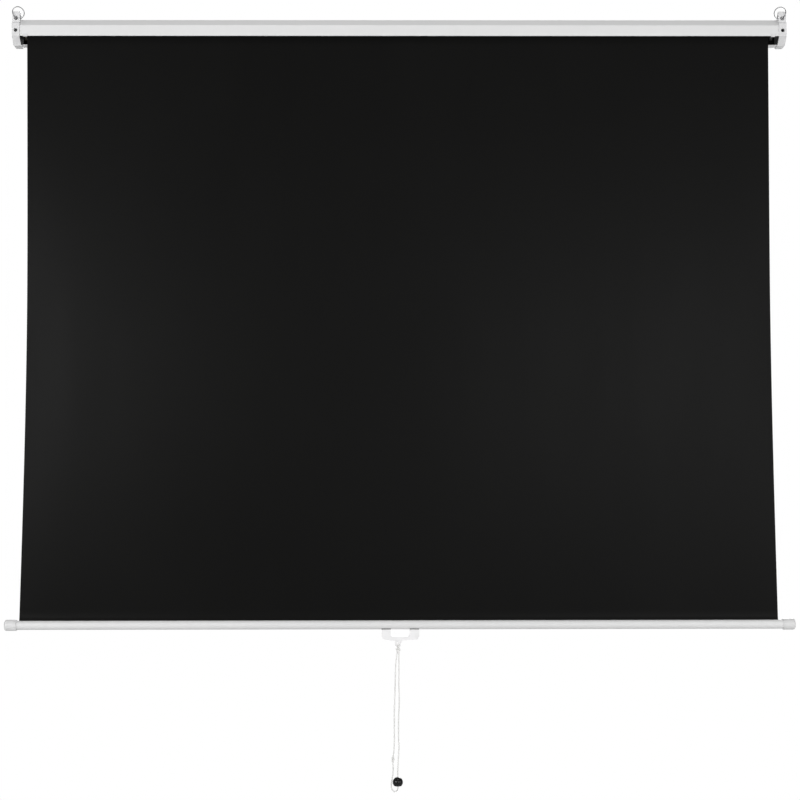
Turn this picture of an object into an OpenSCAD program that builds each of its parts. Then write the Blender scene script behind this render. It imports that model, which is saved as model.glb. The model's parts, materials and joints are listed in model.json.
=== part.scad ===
// Pull-down projection screen with a spring roller and a ratchet lock.
// +X runs along the case, -Y is the wall side, +Z is up.
// The origin lies midway between the two wall holes, on the rear plane of the end caps.

/* [Screen] */
// Width of the screen fabric
fabric_w = 2000; // [1200:50:2400]
// Thickness of the screen fabric
fabric_t = 0.5; // [0.3:0.1:0.8]
// Full turns of the roller between the screen down and the screen up
wind_turns = 12; // [6:1:14]
// Thickness of the turns that stay wound on the roller
roll_t = 0.8; // [0.5:0.05:2]
// How far each side edge draws in at half height
edge_bow = 7; // [0:0.5:15]
// How far the side edges curl forward at half height
edge_curl = 24; // [0:1:30]

/* [Case] */
// Half the width of the octagonal case across its flats
case_ap = 34; // [32:1:40]
// Thickness of the case sheet
case_t = 1; // [0.8:0.1:1.4]
// Outer radius of the bends in the case sheet
bend_r = 2.5; // [2:0.25:4]
// Height of the folded hems on both edges of the slot
hem_h = 5; // [4:0.5:7]

/* [End caps] */
// Distance from the fabric's edge to the outer face of an end cap
cap_reach = 40; // [40:1:60]
// Width of an end cap along the case
cap_w = 20; // [20:1:24]
// How far an end cap stands out around the case
cap_wall = 3; // [2.5:0.25:4]
// Thickness of the cap's end plate
plate_t = 3; // [2.5:0.25:4]
// Bevel around the end plate
plate_bevel = 1.2; // [0.5:0.1:2]
// How deep the case seats in an end cap
seat_depth = 4.2; // [4:0.1:4.5]
// Thickness of the cap's rim past the seat
rim_t = 4; // [3.5:0.25:4.5]
// Height of the ear's top above the roller axis
ear_top = 53; // [50:1:58]
// Depth of the ear's top, from the wall
ear_crest = 13; // [12:0.5:15]
// Depth at which the ear's slope meets the cap's top
ear_foot = 32; // [28:1:36]
// Wall of the hollow ear
ear_wall = 2; // [1.6:0.1:2.4]
// How far the ear stands forward of the wall side, to give the ring room
ear_set = 5; // [4.5:0.25:5.5]
// Height at which the ear starts to lean forward
ear_step_z = 19; // [18:0.5:19]
// Rounding of the ear's outer top corner
ear_round = 6; // [4:0.5:7]
// Diameter of the wall holes
wall_hole_d = 10; // [8:0.5:10]
// Diameter of the ring holes
ring_hole_d = 11.5; // [10.5:0.25:12]
// Height of the ring holes above the wall holes
ring_hole_z = 34; // [33:0.5:36]
// Distance from the cap's outer face to the centres of its holes
hole_inset = 10; // [9.5:0.25:11]
// Width of the tongue that hooks over the slot's hem
tongue_w = 6.5; // [5:0.5:7]
// Length of the hook at the tongue's end
hook_l = 10; // [8:1:12]

/* [Hanging rings] */
// Outer diameter of a hanging ring
ring_d = 34; // [32:1:36]
// Diameter of the ring's wire
ring_wire = 2.2; // [1.8:0.1:2.4]
// Angle between a ring and the case
ring_turn = 30; // [28:1:40]
// Distance along the ring from its lowest point to the hole
ring_shift = 6; // [5.5:0.5:7]
// How far the ring's wire lies above the hole's centre
ring_lift = 1; // [0:0.1:1.2]

/* [Roller] */
// Outer diameter of the roller tube
tube_d = 38; // [36:1:44]
// Wall of the roller tube
tube_t = 1; // [0.8:0.1:1.5]
// Length of a plug inside the roller tube
plug_l = 28; // [20:1:40]
// Thickness of a plug's flange
flange_t = 3; // [2.5:0.25:4]
// Diameter of the lock spear and of the idle pin
axle_d = 8; // [7:0.5:9]
// Thickness of the spear's flat end
tang_t = 3.5; // [3:0.25:4.5]
// Diameter of the plug rivets
rivet_d = 3.2; // [3:0.1:4]

/* [Brackets] */
// Height of a bracket plate
bracket_h = 36; // [34:1:40]
// Depth of a bracket plate
bracket_w = 22; // [20:1:26]
// Thickness of a bracket plate
bracket_t = 3.5; // [3:0.25:4]
// Diameter of a bracket's hub
hub_d = 18; // [16:1:20]
// Length of a bracket's hub past its plate
hub_l = 9; // [8:0.5:10]
// Distance between the two screws of a bracket
screw_span = 27; // [26:1:29]
// Diameter of the screws
screw_d = 3.5; // [3:0.25:4]

/* [Ratchet lock] */
// Diameter of the ratchet wheel
wheel_d = 21; // [20:0.5:22]
// Number of notches in the ratchet wheel
notch_count = 4; // [2:2:4]
// Distance from the roller axis to a pawl's pin
pawl_pin_r = 15.2; // [15:0.1:15.5]
// Diameter of a pawl's pin
pawl_pin_d = 3; // [2.5:0.25:3.5]
// Length of a pawl from its pin to its tip
pawl_l = 12; // [11.5:0.1:12.2]
// Thickness of a pawl along the roller
pawl_t = 4; // [3:0.25:4.5]
// Width of a pawl's tip
pawl_tip_w = 3; // [2.5:0.25:3.2]
// Angle of an engaged pawl from the line through its pin and the axis
pawl_lock_a = 33.5; // [33:0.25:35]
// Angle that a pawl swings from engaged to free
pawl_swing = 22; // [21:0.5:23]

/* [Spring] */
// Diameter of the mandrel
mandrel_d = 12; // [11:0.5:14]
// Mean diameter of the torsion spring
spring_d = 20; // [18:0.5:24]
// Diameter of the spring wire
spring_wire = 2.5; // [2:0.25:3]
// Number of curls in the torsion spring
spring_curls = 30; // [20:1:36]
// Length of the torsion spring
spring_l = 295; // [260:5:320]

/* [Slat] */
// Diameter of the slat tube
slat_d = 24; // [22:1:28]
// Wall of the slat tube
slat_t = 1.2; // [1:0.1:1.6]
// Width of the slit along the slat's top
slit_w = 3; // [2:0.25:5]
// Diameter of a slat cap
slat_cap_d = 29; // [28:0.5:32]
// Length of a slat cap
slat_cap_l = 32; // [28:1:40]
// Distance from the fabric's edge to a slat cap
slat_cap_gap = 11.5; // [5:0.5:20]
// Diameter of the hem rod
hem_rod_d = 7; // [5:0.5:8]
// Clearance between the slat caps and the end caps with the screen up
slat_stop_gap = 0.57; // [0.3:0.01:2]

/* [Handle] */
// Width of the pull handle
handle_w = 99; // [80:1:120]
// Height of the pull handle below the slat's axis
handle_h = 42; // [38:1:50]
// Thickness of the pull handle
handle_t = 12; // [10:0.5:16]
// Width of a foot of the handle
foot_w = 24.5; // [18:0.5:28]
// Height of the bar below the finger slot
handle_bar = 12; // [9:0.5:14]
// Width of the tongue that the cord is hitched to
eyelet_w = 17; // [15:0.5:22]
// Thickness of that tongue
eyelet_t = 5; // [4:0.25:6]
// Distance of the tongue from the middle of the handle
eyelet_x = -6; // [-10:1:10]
// Diameter of the eyelet
eyelet_d = 7; // [6.5:0.25:8]
// Distance of the eyelet below the slat's axis
eyelet_z = 50; // [49:0.5:54]

/* [Pull cord] */
// Diameter of the pull cord
cord_d = 3.2; // [2.5:0.1:3.4]
// Diameter of the pull ball
ball_d = 27; // [24:1:28]
// Distance of the ball's flat underside below its middle
ball_flat = 9.6; // [8:0.2:11]
// Diameter of the bore through the ball
ball_bore_d = 4.6; // [4.4:0.1:6]

/* [Hidden] */
$fn = 48;

// Clearances: between fixed pieces, in running fits, and between pieces that pass each other
fit_gap = 0.15;
press_gap = 0.02;
run_gap = 0.05;
pass_gap = 0.3;
// How far a cutting shape reaches past the face that it cuts
cut = 1;

// Driving places along X, for the right end; the left end is its mirror image
fabric_x = fabric_w / 2;
cap_out_x = fabric_x + cap_reach;
plate_x = cap_out_x - plate_t;
rim_x = cap_out_x - cap_w;
seat_x = rim_x + seat_depth;
case_x = seat_x - pass_gap;
hole_x = cap_out_x - hole_inset;
tube_x = fabric_x + 4;
flange_x = tube_x + flange_t;
pawl_x = flange_x + pass_gap;
pawl_head_x = pawl_x + pawl_t + pass_gap;
bracket_x = plate_x - bracket_t;
hub_x = bracket_x - hub_l;
axle_x = bracket_x - pass_gap;
tang_x = hub_x - pass_gap;

// The case: its profile is drawn about the roller axis, with the wall on the left
cap_ap = case_ap + cap_wall;
axis_y = cap_ap;
half_facet = case_ap * tan(22.5);
cap_facet = cap_ap * tan(22.5);
bend_steps = 4;
rim_ap = cap_ap - rim_t;
ear_slope = atan((ear_top - cap_ap) / (ear_foot - ear_crest));

// The roller
tube_r = tube_d / 2;
tube_bore_r = tube_r - tube_t;
plug_r = tube_bore_r - run_gap;
axle_r = axle_d / 2;
roll_r = tube_r + run_gap + roll_t;
pull_r = roll_r + fabric_t;
plug_x = tube_x - plug_l;
rivet_x = tube_x - plug_l / 2;
rivet_r = rivet_d / 2;
rivet_l = 5;

// The lock, drawn about the roller axis. The engaged pawl lies along the notch's floor.
wheel_r = wheel_d / 2;
pawl_pin_rad = pawl_pin_d / 2;
pawl_boss_r = pawl_pin_rad + 1.7;
pawl_shoulder_w = 1.9;
notch_turn = pawl_lock_a - 90;
notch_floor = pawl_pin_r * sin(pawl_lock_a) - pawl_tip_w / 2 - pass_gap;
notch_face = pawl_l - pawl_pin_r * cos(pawl_lock_a) + 0.2;
pin_head_r = pawl_boss_r - 0.4;
pin_head_t = 1;
stop_r = 1.2;
stop_along = 8;
stop_out = pawl_boss_r + pass_gap + stop_r - 1;

// The spring and what holds it
mandrel_r = mandrel_d / 2;
mandrel_x = plug_x - 3;
socket_l = 12;
spear_x = mandrel_x - socket_l + 1;
collar_t = 8;
collar_r = (spring_d + spring_wire) / 2 + 1;
collar_x = mandrel_x - 4;
spring_x = collar_x - collar_t - pass_gap;
anchor_x = spring_x - spring_l - pass_gap;
anchor_l = 20;
mandrel_end_x = anchor_x - anchor_l - 5;

// The slat, at rest and fully down
travel = wind_turns * 2 * PI * pull_r;
slat_r = slat_d / 2;
slat_bore_r = slat_r - slat_t;
slat_cap_r = slat_cap_d / 2;
slat_y = axis_y - pull_r;
slat_up_z = pull_r - sqrt(2) * (cap_ap + slat_cap_r + slat_stop_gap);
slat_z = slat_up_z - travel;
slat_cap_x = fabric_x + slat_cap_gap;
slat_seat = slat_cap_l - 12;
slat_tube_x = slat_cap_x + slat_seat - pass_gap;
hem_rod_r = hem_rod_d / 2;
hem_rod_z = slat_z + sqrt(pow(slat_bore_r, 2) - pow(slit_w / 2, 2))
    - sqrt(pow(hem_rod_r + pass_gap, 2) - pow(slit_w / 2, 2));
fabric_top_z = 0;
fabric_low_z = hem_rod_z + hem_rod_r + pass_gap;

// The handle, drawn about the slat's axis
foot_top = slat_r - 3;
foot_x = (handle_w - foot_w) / 2;
handle_round = 11;
handle_rise = 3;
slot_round = 5;
eyelet_r = eyelet_d / 2;
eyelet_end = eyelet_w / 2;
handle_screw_top = slat_r - 6;
screw_head_r = screw_d;
screw_seat = slat_r + 5;
screw_head_h = 2.4;

// The cord, drawn about the slat's axis. The wrap below the eyelet is the cord's hinge.
cord_r = cord_d / 2;
cord_sides = 8;
ring_gap = 3 * cord_d;
wrap_z = -65;
wrap_r = 3.6;
wrap_l = 13;
ball_x = -7;
ball_z = -411;
ball_r = ball_d / 2;
knot_x = -20;
knot_z = -352;
knot_r = 4.2;
knot_h = 14;
hitch_route = [[-1, -2.4, -63.5], [-1.5, -4.8, -58.5], [-1.5, -4.7, -53.5], [-1, -3.6, -51.8],
    [0, 0, -51.2], [1, 3.6, -51.8], [1.5, 4.7, -53.5], [1.5, 4.8, -58.5], [1, 2.4, -63.5]];
left_route = [[-8, 0, -69], [-10, 0, -84], [-12, 0, -102], [-13, 0, -130], [-14, 0, -160],
    [-15, 0, -192], [-16, 0, -225], [-16, 0, -260], [-16, 0, -295], [-17, 0, -325], [-19, 0, -344]];
right_route = [[-4, 0, -69], [-4, 0, -100], [-4, 0, -130], [-4, 0, -160], [-3, 0, -200],
    [-5, 0, -250], [-5, 0, -290], [-4, 0, -325], [-6, 0, -355], [-7, 0, -380], [-7, 0, -410],
    [-7, 0, -427], [-12, 0, -435], [-19, 0, -434], [-24, 0, -424], [-23, 0, -408], [-20, 0, -390],
    [-19, 0, -374], [-20, 0, -360]];

// The hanging rings, placed from the point where the wire passes the hole
ring_r = (ring_d - ring_wire) / 2;
ring_rise = sqrt(ring_r * ring_r - ring_shift * ring_shift);

// A point of a smooth curve through a, b, c, d, between b and c
function curve_point(a, b, c, d, t) =
    0.5 * ((2 * b) + (c - a) * t + (2 * a - 5 * b + 4 * c - d) * t * t
        + (3 * b - a - 3 * c + d) * t * t * t);

// Points at most gap apart on the smooth curve through a route
function smooth_route(p, gap) = concat(
    [for (i = [0 : len(p) - 2])
        let (n = max(1, ceil(norm(p[i + 1] - p[i]) / gap - 0.2)))
        for (k = [0 : n - 1])
            curve_point(p[max(i - 1, 0)], p[i], p[i + 1], p[min(i + 2, len(p) - 1)], k / n)],
    [p[len(p) - 1]]);

function unit(v) = v / norm(v);

// Direction of a line of points at its point i
function heading(p, i) = unit(p[min(i + 1, len(p) - 1)] - p[max(i - 1, 0)]);

// One ring of points around each point of a line, starting from the direction side[i]
function tube_rings(p, side, r, sides) = [
    for (i = [0 : len(p) - 1])
        let (t = heading(p, i), b = unit(cross(t, side[i])), n = cross(b, t))
        for (k = [0 : sides - 1])
            p[i] + r * (cos(360 * k / sides) * n + sin(360 * k / sides) * b)];

// Triangles of a tube of count rings, closed at both ends
function tube_faces(count, sides) = concat(
    [for (i = [0 : count - 2], k = [0 : sides - 1])
        let (a = i * sides + k, b = i * sides + (k + 1) % sides)
        each [[a, a + sides, b + sides], [a, b + sides, b]]],
    [for (k = [1 : sides - 2]) [0, k, k + 1]],
    [for (k = [1 : sides - 2])
        let (e = (count - 1) * sides)
        [e, e + k + 1, e + k]]);

module tube(p, side, r, sides) {
    polyhedron(tube_rings(p, side, r, sides), tube_faces(len(p), sides));
}

// A cord through a route that is given about the slat's axis
module cord_run(route, gap, side) {
    p = smooth_route(route, gap);
    translate([0, slat_y, slat_z])
        tube(p, [for (i = p) side], cord_r, cord_sides);
}

// Extrudes a profile drawn about the roller axis, from x0 to x1
module along_x(x0, x1) {
    translate([x0, axis_y, 0])
        rotate([90, 0, 90])
            linear_extrude(x1 - x0)
                children();
}

// A round bar about the roller axis
module bar_x(x0, x1, r) {
    translate([x0, axis_y, 0])
        rotate([0, 90, 0])
            cylinder(h = x1 - x0, r = r);
}

module on_left() {
    mirror([1, 0, 0])
        children();
}

module octagon(ap) {
    rotate(22.5)
        circle(r = ap / cos(22.5), $fn = 8);
}

function backwards(p) = [for (i = [len(p) - 1 : -1 : 0]) p[i]];

// Points of an arc about c, from angle a0 to a1
function arc_points(c, r, a0, a1, steps) = [for (k = [0 : steps])
    let (a = a0 + (a1 - a0) * k / steps)
    c + r * [cos(a), sin(a)]];

// The six bends of the case, from the wall over the top to the underside
function case_bends(ap, r) = [for (a = [157.5 : -45 : -67.5])
    each arc_points((ap - r) / cos(22.5) * [cos(a), sin(a)], r, a + 22.5, a - 22.5, bend_steps)];

// Sheet of the case with a hem folded outwards at the wall and inwards below
module case_section() {
    polygon(concat(
        [[-case_ap - case_t, hem_h - half_facet]],
        arc_points([-case_ap, -half_facet], case_t, 180, 360, 6),
        case_bends(case_ap - case_t, bend_r - case_t),
        [[hem_h - half_facet, case_t - case_ap], [hem_h - half_facet, 2 * case_t - case_ap]],
        arc_points([case_t - half_facet, case_t - case_ap], case_t, 90, 270, 6),
        backwards(case_bends(case_ap, bend_r)),
        [[-case_ap, hem_h - half_facet]]));
}

module case_profile() {
    color("whitesmoke")
        along_x(-case_x, case_x)
            case_section();
}

// Side view of an end cap: the octagon with the ear on the two facets above the wall
module cap_outline() {
    polygon([[-cap_ap, -cap_facet], [-cap_facet, -cap_ap], [cap_facet, -cap_ap],
        [cap_ap, -cap_facet], [cap_ap, cap_facet], [cap_facet, cap_ap],
        [-cap_ap + ear_foot, cap_ap], [-cap_ap + ear_crest, ear_top],
        [-cap_ap + ear_set + 3, ear_top], [-cap_ap + ear_set + 1, ear_top - 1],
        [-cap_ap + ear_set, ear_top - 3], [-cap_ap + ear_set, ear_step_z + ear_set],
        [-cap_ap, ear_step_z]]);
}

module ear_hollow() {
    slope_x = -cap_ap - ear_wall / sin(ear_slope);
    back_x = -cap_ap + ear_wall;
    step_z = ear_step_z + ear_wall * tan(22.5);
    difference() {
        polygon([[back_x, 0], [back_x, step_z], [back_x + ear_set, step_z + ear_set],
            [back_x + ear_set, ear_top - ear_wall],
            [slope_x + ear_crest + ear_wall / tan(ear_slope), ear_top - ear_wall],
            [slope_x + ear_foot, cap_ap], [slope_x + ear_foot, 0]]);
        octagon(cap_ap);
    }
}

// Section of the cap's rim around an octagonal hollow
module rim_section(ap) {
    difference() {
        cap_outline();
        octagon(ap);
        ear_hollow();
    }
}

// Tongue along the inside of the case that hooks over the hem at the slot
module cap_tongue() {
    inner_y = cap_wall + case_t + pass_gap;
    top_z = -wall_hole_d / 2 - 0.5;
    low_z = -half_facet - case_t - pass_gap;
    hook_x = fabric_x - 1;
    lip_y = cap_wall - case_t - pass_gap;
    translate([hook_x, inner_y, top_z - tongue_w])
        cube([plate_x - hook_x, 2, tongue_w]);
    translate([seat_x + pass_gap, cap_wall, top_z - tongue_w])
        cube([plate_x - seat_x - pass_gap, 2, tongue_w]);
    translate([hook_x, inner_y, low_z - 1.6])
        cube([hook_l, 2, top_z - low_z + 1.6]);
    translate([hook_x, lip_y - 1, low_z - 1.6])
        cube([hook_l, inner_y - lip_y + 3, 1.6]);
    translate([hook_x, lip_y - 1, low_z - 1.6])
        cube([hook_l, 1, hem_h + case_t + 1.6]);
}

module cap_body() {
    along_x(plate_x, cap_out_x)
        cap_outline();
    along_x(seat_x, plate_x)
        rim_section(rim_ap);
    along_x(rim_x, seat_x)
        rim_section(case_ap + fit_gap);
    cap_tongue();
}

// Wedges along the end plate's outer edges, on the facets that the ear leaves free
module plate_bevels() {
    for (a = [-135 : 45 : 45])
        translate([cap_out_x, axis_y, 0])
            rotate([a, 0, 0])
                translate([0, cap_ap, 0])
                    rotate([0, 0, 45])
                        cube([sqrt(2) * plate_bevel, sqrt(2) * plate_bevel, cap_ap], center = true);
}

// Everything above and outside the rounded corner of the ear
module ear_corner() {
    difference() {
        translate([cap_out_x - ear_round, -cut, ear_top - ear_round])
            cube([ear_round + cut, ear_foot + cut, ear_round + cut]);
        translate([cap_out_x - ear_round, -2 * cut, ear_top - ear_round])
            rotate([-90, 0, 0])
                cylinder(h = ear_foot + 4 * cut, r = ear_round);
    }
}

module screw_places() {
    for (s = [-1, 1])
        translate([0, axis_y, s * screw_span / 2])
            children();
}

module end_cap() {
    difference() {
        cap_body();
        ear_corner();
        plate_bevels();
        translate([hole_x, -cut, 0])
            rotate([-90, 0, 0])
                cylinder(h = rim_t + 2 * cut, d = wall_hole_d);
        translate([hole_x, ear_set - cut, ring_hole_z])
            rotate([-90, 0, 0])
                cylinder(h = ear_wall + 2 * cut, d = ring_hole_d);
        screw_places()
            translate([plate_x - cut, 0, 0])
                rotate([0, 90, 0])
                    cylinder(h = plate_t + 2 * cut, d = screw_d + 2 * fit_gap);
        screw_places()
            translate([cap_out_x - screw_d / 2, 0, 0])
                rotate([0, 90, 0])
                    cylinder(h = screw_d / 2 + 0.01, d1 = screw_d + 2 * fit_gap,
                        d2 = 2 * screw_d + 2 * fit_gap);
        translate([rim_x - cut, cap_wall - case_t - fit_gap, -half_facet - case_t - fit_gap])
            cube([seat_depth + cut, case_t + 1, hem_h + case_t + 2 * fit_gap]);
    }
}

module end_cap_left() {
    color("white")
        on_left()
            end_cap();
}

module end_cap_right() {
    color("white")
        end_cap();
}

// Countersunk screws through the end plate into the bracket
module cap_screws() {
    screw_places() {
        translate([bracket_x + 0.5, 0, 0])
            rotate([0, 90, 0])
                cylinder(h = cap_out_x - bracket_x - 1, d = screw_d);
        translate([cap_out_x - screw_d / 2, 0, 0])
            rotate([0, 90, 0])
                cylinder(h = screw_d / 2, d1 = screw_d, d2 = 2 * screw_d);
    }
}

module cap_screws_left() {
    color("silver")
        on_left()
            cap_screws();
}

module cap_screws_right() {
    color("silver")
        cap_screws();
}

// Plate and hub that carry one end of the roller; the children are cut out of them
module bracket() {
    difference() {
        union() {
            translate([bracket_x, axis_y - bracket_w / 2, -bracket_h / 2])
                cube([bracket_t, bracket_w, bracket_h]);
            bar_x(hub_x, bracket_x + cut, hub_d / 2);
        }
        screw_places()
            translate([bracket_x - cut, 0, 0])
                rotate([0, 90, 0])
                    cylinder(h = bracket_t + 2 * cut, d = screw_d + 2 * press_gap);
        children();
    }
}

// The flat end of the spear, or with a gap the pocket that holds it
module tang(x0, x1, gap) {
    intersection() {
        bar_x(x0, x1, axle_r + gap);
        translate([x0 - cut, axis_y - tang_t / 2 - gap, -axle_d])
            cube([x1 - x0 + 2 * cut, tang_t + 2 * gap, 2 * axle_d]);
    }
}

module spear_bracket() {
    color("silver")
        on_left()
            bracket()
                tang(hub_x - cut, bracket_x, run_gap);
}

module idle_bearing() {
    color("silver")
        bracket()
            bar_x(hub_x - cut, bracket_x, axle_r + run_gap);
}

module lock_spear() {
    color("gray")
        on_left() {
            bar_x(spear_x, tang_x, axle_r);
            tang(tang_x - cut, axle_x, 0);
        }
}

// Wheel on the spear: every notch has a floor and a face that stops the pawl's tip
module ratchet_wheel() {
    color("goldenrod")
        on_left()
            along_x(pawl_x + 0.1, pawl_x + pawl_t)
                difference() {
                    circle(r = wheel_r);
                    circle(r = axle_r + press_gap);
                    for (k = [0 : notch_count - 1])
                        rotate(notch_turn + 360 * k / notch_count)
                            translate([-wheel_d, notch_floor])
                                square([wheel_d + notch_face, wheel_r]);
                }
}

module spring_mandrel() {
    color("gray")
        on_left()
            difference() {
                union() {
                    bar_x(mandrel_end_x, mandrel_x, mandrel_r);
                    bar_x(collar_x - collar_t, collar_x, collar_r);
                }
                bar_x(mandrel_x - socket_l, mandrel_x + cut, axle_r + press_gap);
            }
}

// The helix runs between two straight ends, one wire diameter long, along its axis
rings_per_curl = 8;
helix_l = spring_l - 2 * spring_wire;
helix_rings = spring_curls * rings_per_curl;
helix = [for (i = [0 : helix_rings])
    [spring_x - spring_wire - helix_l * i / helix_rings,
        axis_y + spring_d / 2 * cos(360 * i / rings_per_curl),
        spring_d / 2 * sin(360 * i / rings_per_curl)]];
spring_line = concat(
    [[spring_x, axis_y + spring_d / 2, 0]],
    helix,
    [[spring_x - spring_l, axis_y + spring_d / 2, 0]]);
spring_side = [for (p = spring_line) unit([0, p[1] - axis_y, p[2]])];
spring_gap = min([for (i = [0 : helix_rings - rings_per_curl])
    norm(helix[i] - helix[i + rings_per_curl])]) - spring_wire;
echo("least gap between curls", spring_gap);

module torsion_spring() {
    color("dimgray")
        on_left()
            tube(spring_line, spring_side, spring_wire / 2, 6);
}

// The fabric: points from the top down and across, drawn in and curled at both sides
curl_share = 0.24;
fabric_rows = 16;
curl_columns = 7;
fabric_across = concat(
    [for (i = [0 : curl_columns]) -1 + curl_share * i / curl_columns],
    [for (i = [0 : curl_columns]) 1 - curl_share + curl_share * i / curl_columns]);

function fabric_point(s, w, y) =
    let (swell = pow(sin(180 * w), 1.2), edge = max(0, abs(s) - 1 + curl_share) / curl_share)
    [s * (fabric_x - edge_bow * swell),
        slat_y + y + edge_curl * swell * edge * edge,
        fabric_top_z + w * (fabric_low_z - fabric_top_z)];

module screen_fabric() {
    columns = len(fabric_across);
    rows = fabric_rows + 1;
    points = [for (y = [-fabric_t / 2, fabric_t / 2], j = [0 : fabric_rows], s = fabric_across)
        fabric_point(s, j / fabric_rows, y)];
    back = columns * rows;
    faces = concat(
        [for (j = [0 : rows - 2], i = [0 : columns - 2])
            let (a = j * columns + i, b = a + columns)
            each [[a, a + 1, b + 1], [a, b + 1, b],
                [back + a, back + b + 1, back + a + 1], [back + a, back + b, back + b + 1]]],
        [for (j = [0 : rows - 2])
            let (a = j * columns, b = a + columns)
            each [[a, b, back + b], [a, back + b, back + a],
                [a + columns - 1, back + b + columns - 1, b + columns - 1],
                [a + columns - 1, back + a + columns - 1, back + b + columns - 1]]],
        [for (i = [0 : columns - 2])
            let (a = i, b = (rows - 1) * columns + i)
            each [[a, back + a, back + a + 1], [a, back + a + 1, a + 1],
                [b, b + 1, back + b + 1], [b, back + b + 1, back + b]]]);
    color("black")
        polyhedron(points, faces);
}

module fabric_roll() {
    color("black")
        along_x(-fabric_x, fabric_x)
            difference() {
                circle(r = roll_r);
                circle(r = tube_r + run_gap);
            }
}

// Places of the rivets around the roller; x is where along it
module rivet_places(x) {
    for (k = [0 : 2])
        translate([x, axis_y, 0])
            rotate([120 * k + 30, 0, 0])
                children();
}

module rivet_holes(x) {
    rivet_places(x)
        translate([0, 0, tube_r - rivet_l])
            cylinder(h = rivet_l + cut, r = rivet_r + press_gap);
}

anchor_rivet_x = anchor_x - anchor_l / 2;

module roller_tube() {
    color("lightgray")
        difference() {
            along_x(-tube_x, tube_x)
                difference() {
                    circle(r = tube_r);
                    circle(r = tube_bore_r);
                }
            rivet_holes(rivet_x);
            rivet_holes(-rivet_x);
            rivet_holes(-anchor_rivet_x);
        }
}

module end_plug() {
    difference() {
        union() {
            bar_x(plug_x, tube_x + cut, plug_r);
            bar_x(tube_x, flange_x, tube_r);
        }
        rivet_holes(rivet_x);
        children();
    }
}

// Carries out its children at both pawls' pins, turned to a free pawl
module at_pawl(turn) {
    rotate(turn)
        translate([0, pawl_pin_r])
            rotate(pawl_lock_a + pawl_swing - 90)
                children();
}

module spring_end_plug() {
    color("white")
        on_left() {
            end_plug() {
                bar_x(plug_x - cut, flange_x + cut, axle_r + run_gap);
                along_x(tube_x - 2, flange_x + cut)
                    for (turn = [0, 180])
                        at_pawl(turn)
                            circle(r = pawl_pin_rad + press_gap);
            }
            along_x(flange_x - cut, flange_x + pawl_t)
                for (turn = [0, 180])
                    at_pawl(turn)
                        translate([stop_along, stop_out])
                            circle(r = stop_r);
        }
}

module idle_end_plug() {
    color("white")
        end_plug()
            bar_x(plug_x - cut, flange_x + cut, axle_r + press_gap);
}

module idle_pin() {
    color("gray")
        bar_x(plug_x + 2, axle_x, axle_r);
}

module spring_anchor_plug() {
    color("white")
        on_left()
            difference() {
                bar_x(anchor_x - anchor_l, anchor_x, plug_r);
                bar_x(anchor_x - anchor_l - cut, anchor_x + cut, mandrel_r + run_gap);
                rivet_holes(anchor_rivet_x);
            }
}

module plug_rivets() {
    color("silver")
        for (x = [rivet_x, -rivet_x, -anchor_rivet_x])
            rivet_places(x)
                translate([0, 0, tube_r - rivet_l + pass_gap])
                    cylinder(h = rivet_l - 1.5 * pass_gap, r = rivet_r);
}

module pawl_pins() {
    color("gray")
        on_left() {
            along_x(tube_x - 2 + press_gap, pawl_head_x)
                for (turn = [0, 180])
                    at_pawl(turn)
                        circle(r = pawl_pin_rad);
            along_x(pawl_head_x, pawl_head_x + pin_head_t)
                for (turn = [0, 180])
                    at_pawl(turn)
                        circle(r = pin_head_r);
        }
}

// Pawl drawn along +X from its pin: flat towards the wheel, tapered at the back
module pawl_outline() {
    difference() {
        union() {
            circle(r = pawl_boss_r);
            polygon([[0, -pawl_tip_w / 2], [pawl_l, -pawl_tip_w / 2], [pawl_l, pawl_tip_w / 2],
                [pawl_l - 2, pawl_shoulder_w], [0, pawl_boss_r - 0.05]]);
        }
        circle(r = pawl_pin_rad + run_gap);
    }
}

module pawl(turn) {
    color("goldenrod")
        on_left()
            along_x(pawl_x, pawl_x + pawl_t)
                at_pawl(turn)
                    pawl_outline();
}

module pawl_a() {
    pawl(0);
}

module pawl_b() {
    pawl(180);
}

// A round bar about the slat's axis
module slat_bar(x0, x1, r) {
    translate([x0, slat_y, slat_z])
        rotate([0, 90, 0])
            cylinder(h = x1 - x0, r = r);
}

module handle_screw_places() {
    for (s = [-1, 1])
        translate([s * foot_x, slat_y, slat_z])
            children();
}

module slat_tube() {
    color("white")
        difference() {
            slat_bar(-slat_tube_x, slat_tube_x, slat_r);
            slat_bar(-slat_tube_x - cut, slat_tube_x + cut, slat_bore_r);
            translate([-slat_tube_x - cut, slat_y - slit_w / 2, slat_z])
                cube([2 * slat_tube_x + 2 * cut, slit_w, slat_r + cut]);
            handle_screw_places()
                translate([0, 0, -slat_r - cut])
                    cylinder(h = slat_t + 2 * cut, d = screw_d + 2 * fit_gap);
        }
}

// Cup over the slat's end: half its section, turned about the slat's axis
module slat_cap() {
    end_r = 5;
    arc = [for (a = [90 : -15 : 0])
        [slat_cap_r - end_r + end_r * sin(a), slat_cap_l - end_r + end_r * cos(a)]];
    translate([slat_cap_x, slat_y, slat_z])
        rotate([0, 90, 0])
            rotate_extrude()
                polygon(concat(
                    [[slat_r + fit_gap, 0], [slat_cap_r - 0.8, 0], [slat_cap_r, 0.8]],
                    arc,
                    [[0, slat_cap_l], [0, slat_seat], [slat_r + fit_gap, slat_seat]]));
}

module slat_cap_left() {
    color("white")
        on_left()
            slat_cap();
}

module slat_cap_right() {
    color("white")
        slat_cap();
}

module hem_rod() {
    color("silver")
        translate([-fabric_x, slat_y, hem_rod_z])
            rotate([0, 90, 0])
                cylinder(h = fabric_w, r = hem_rod_r);
}

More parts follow.
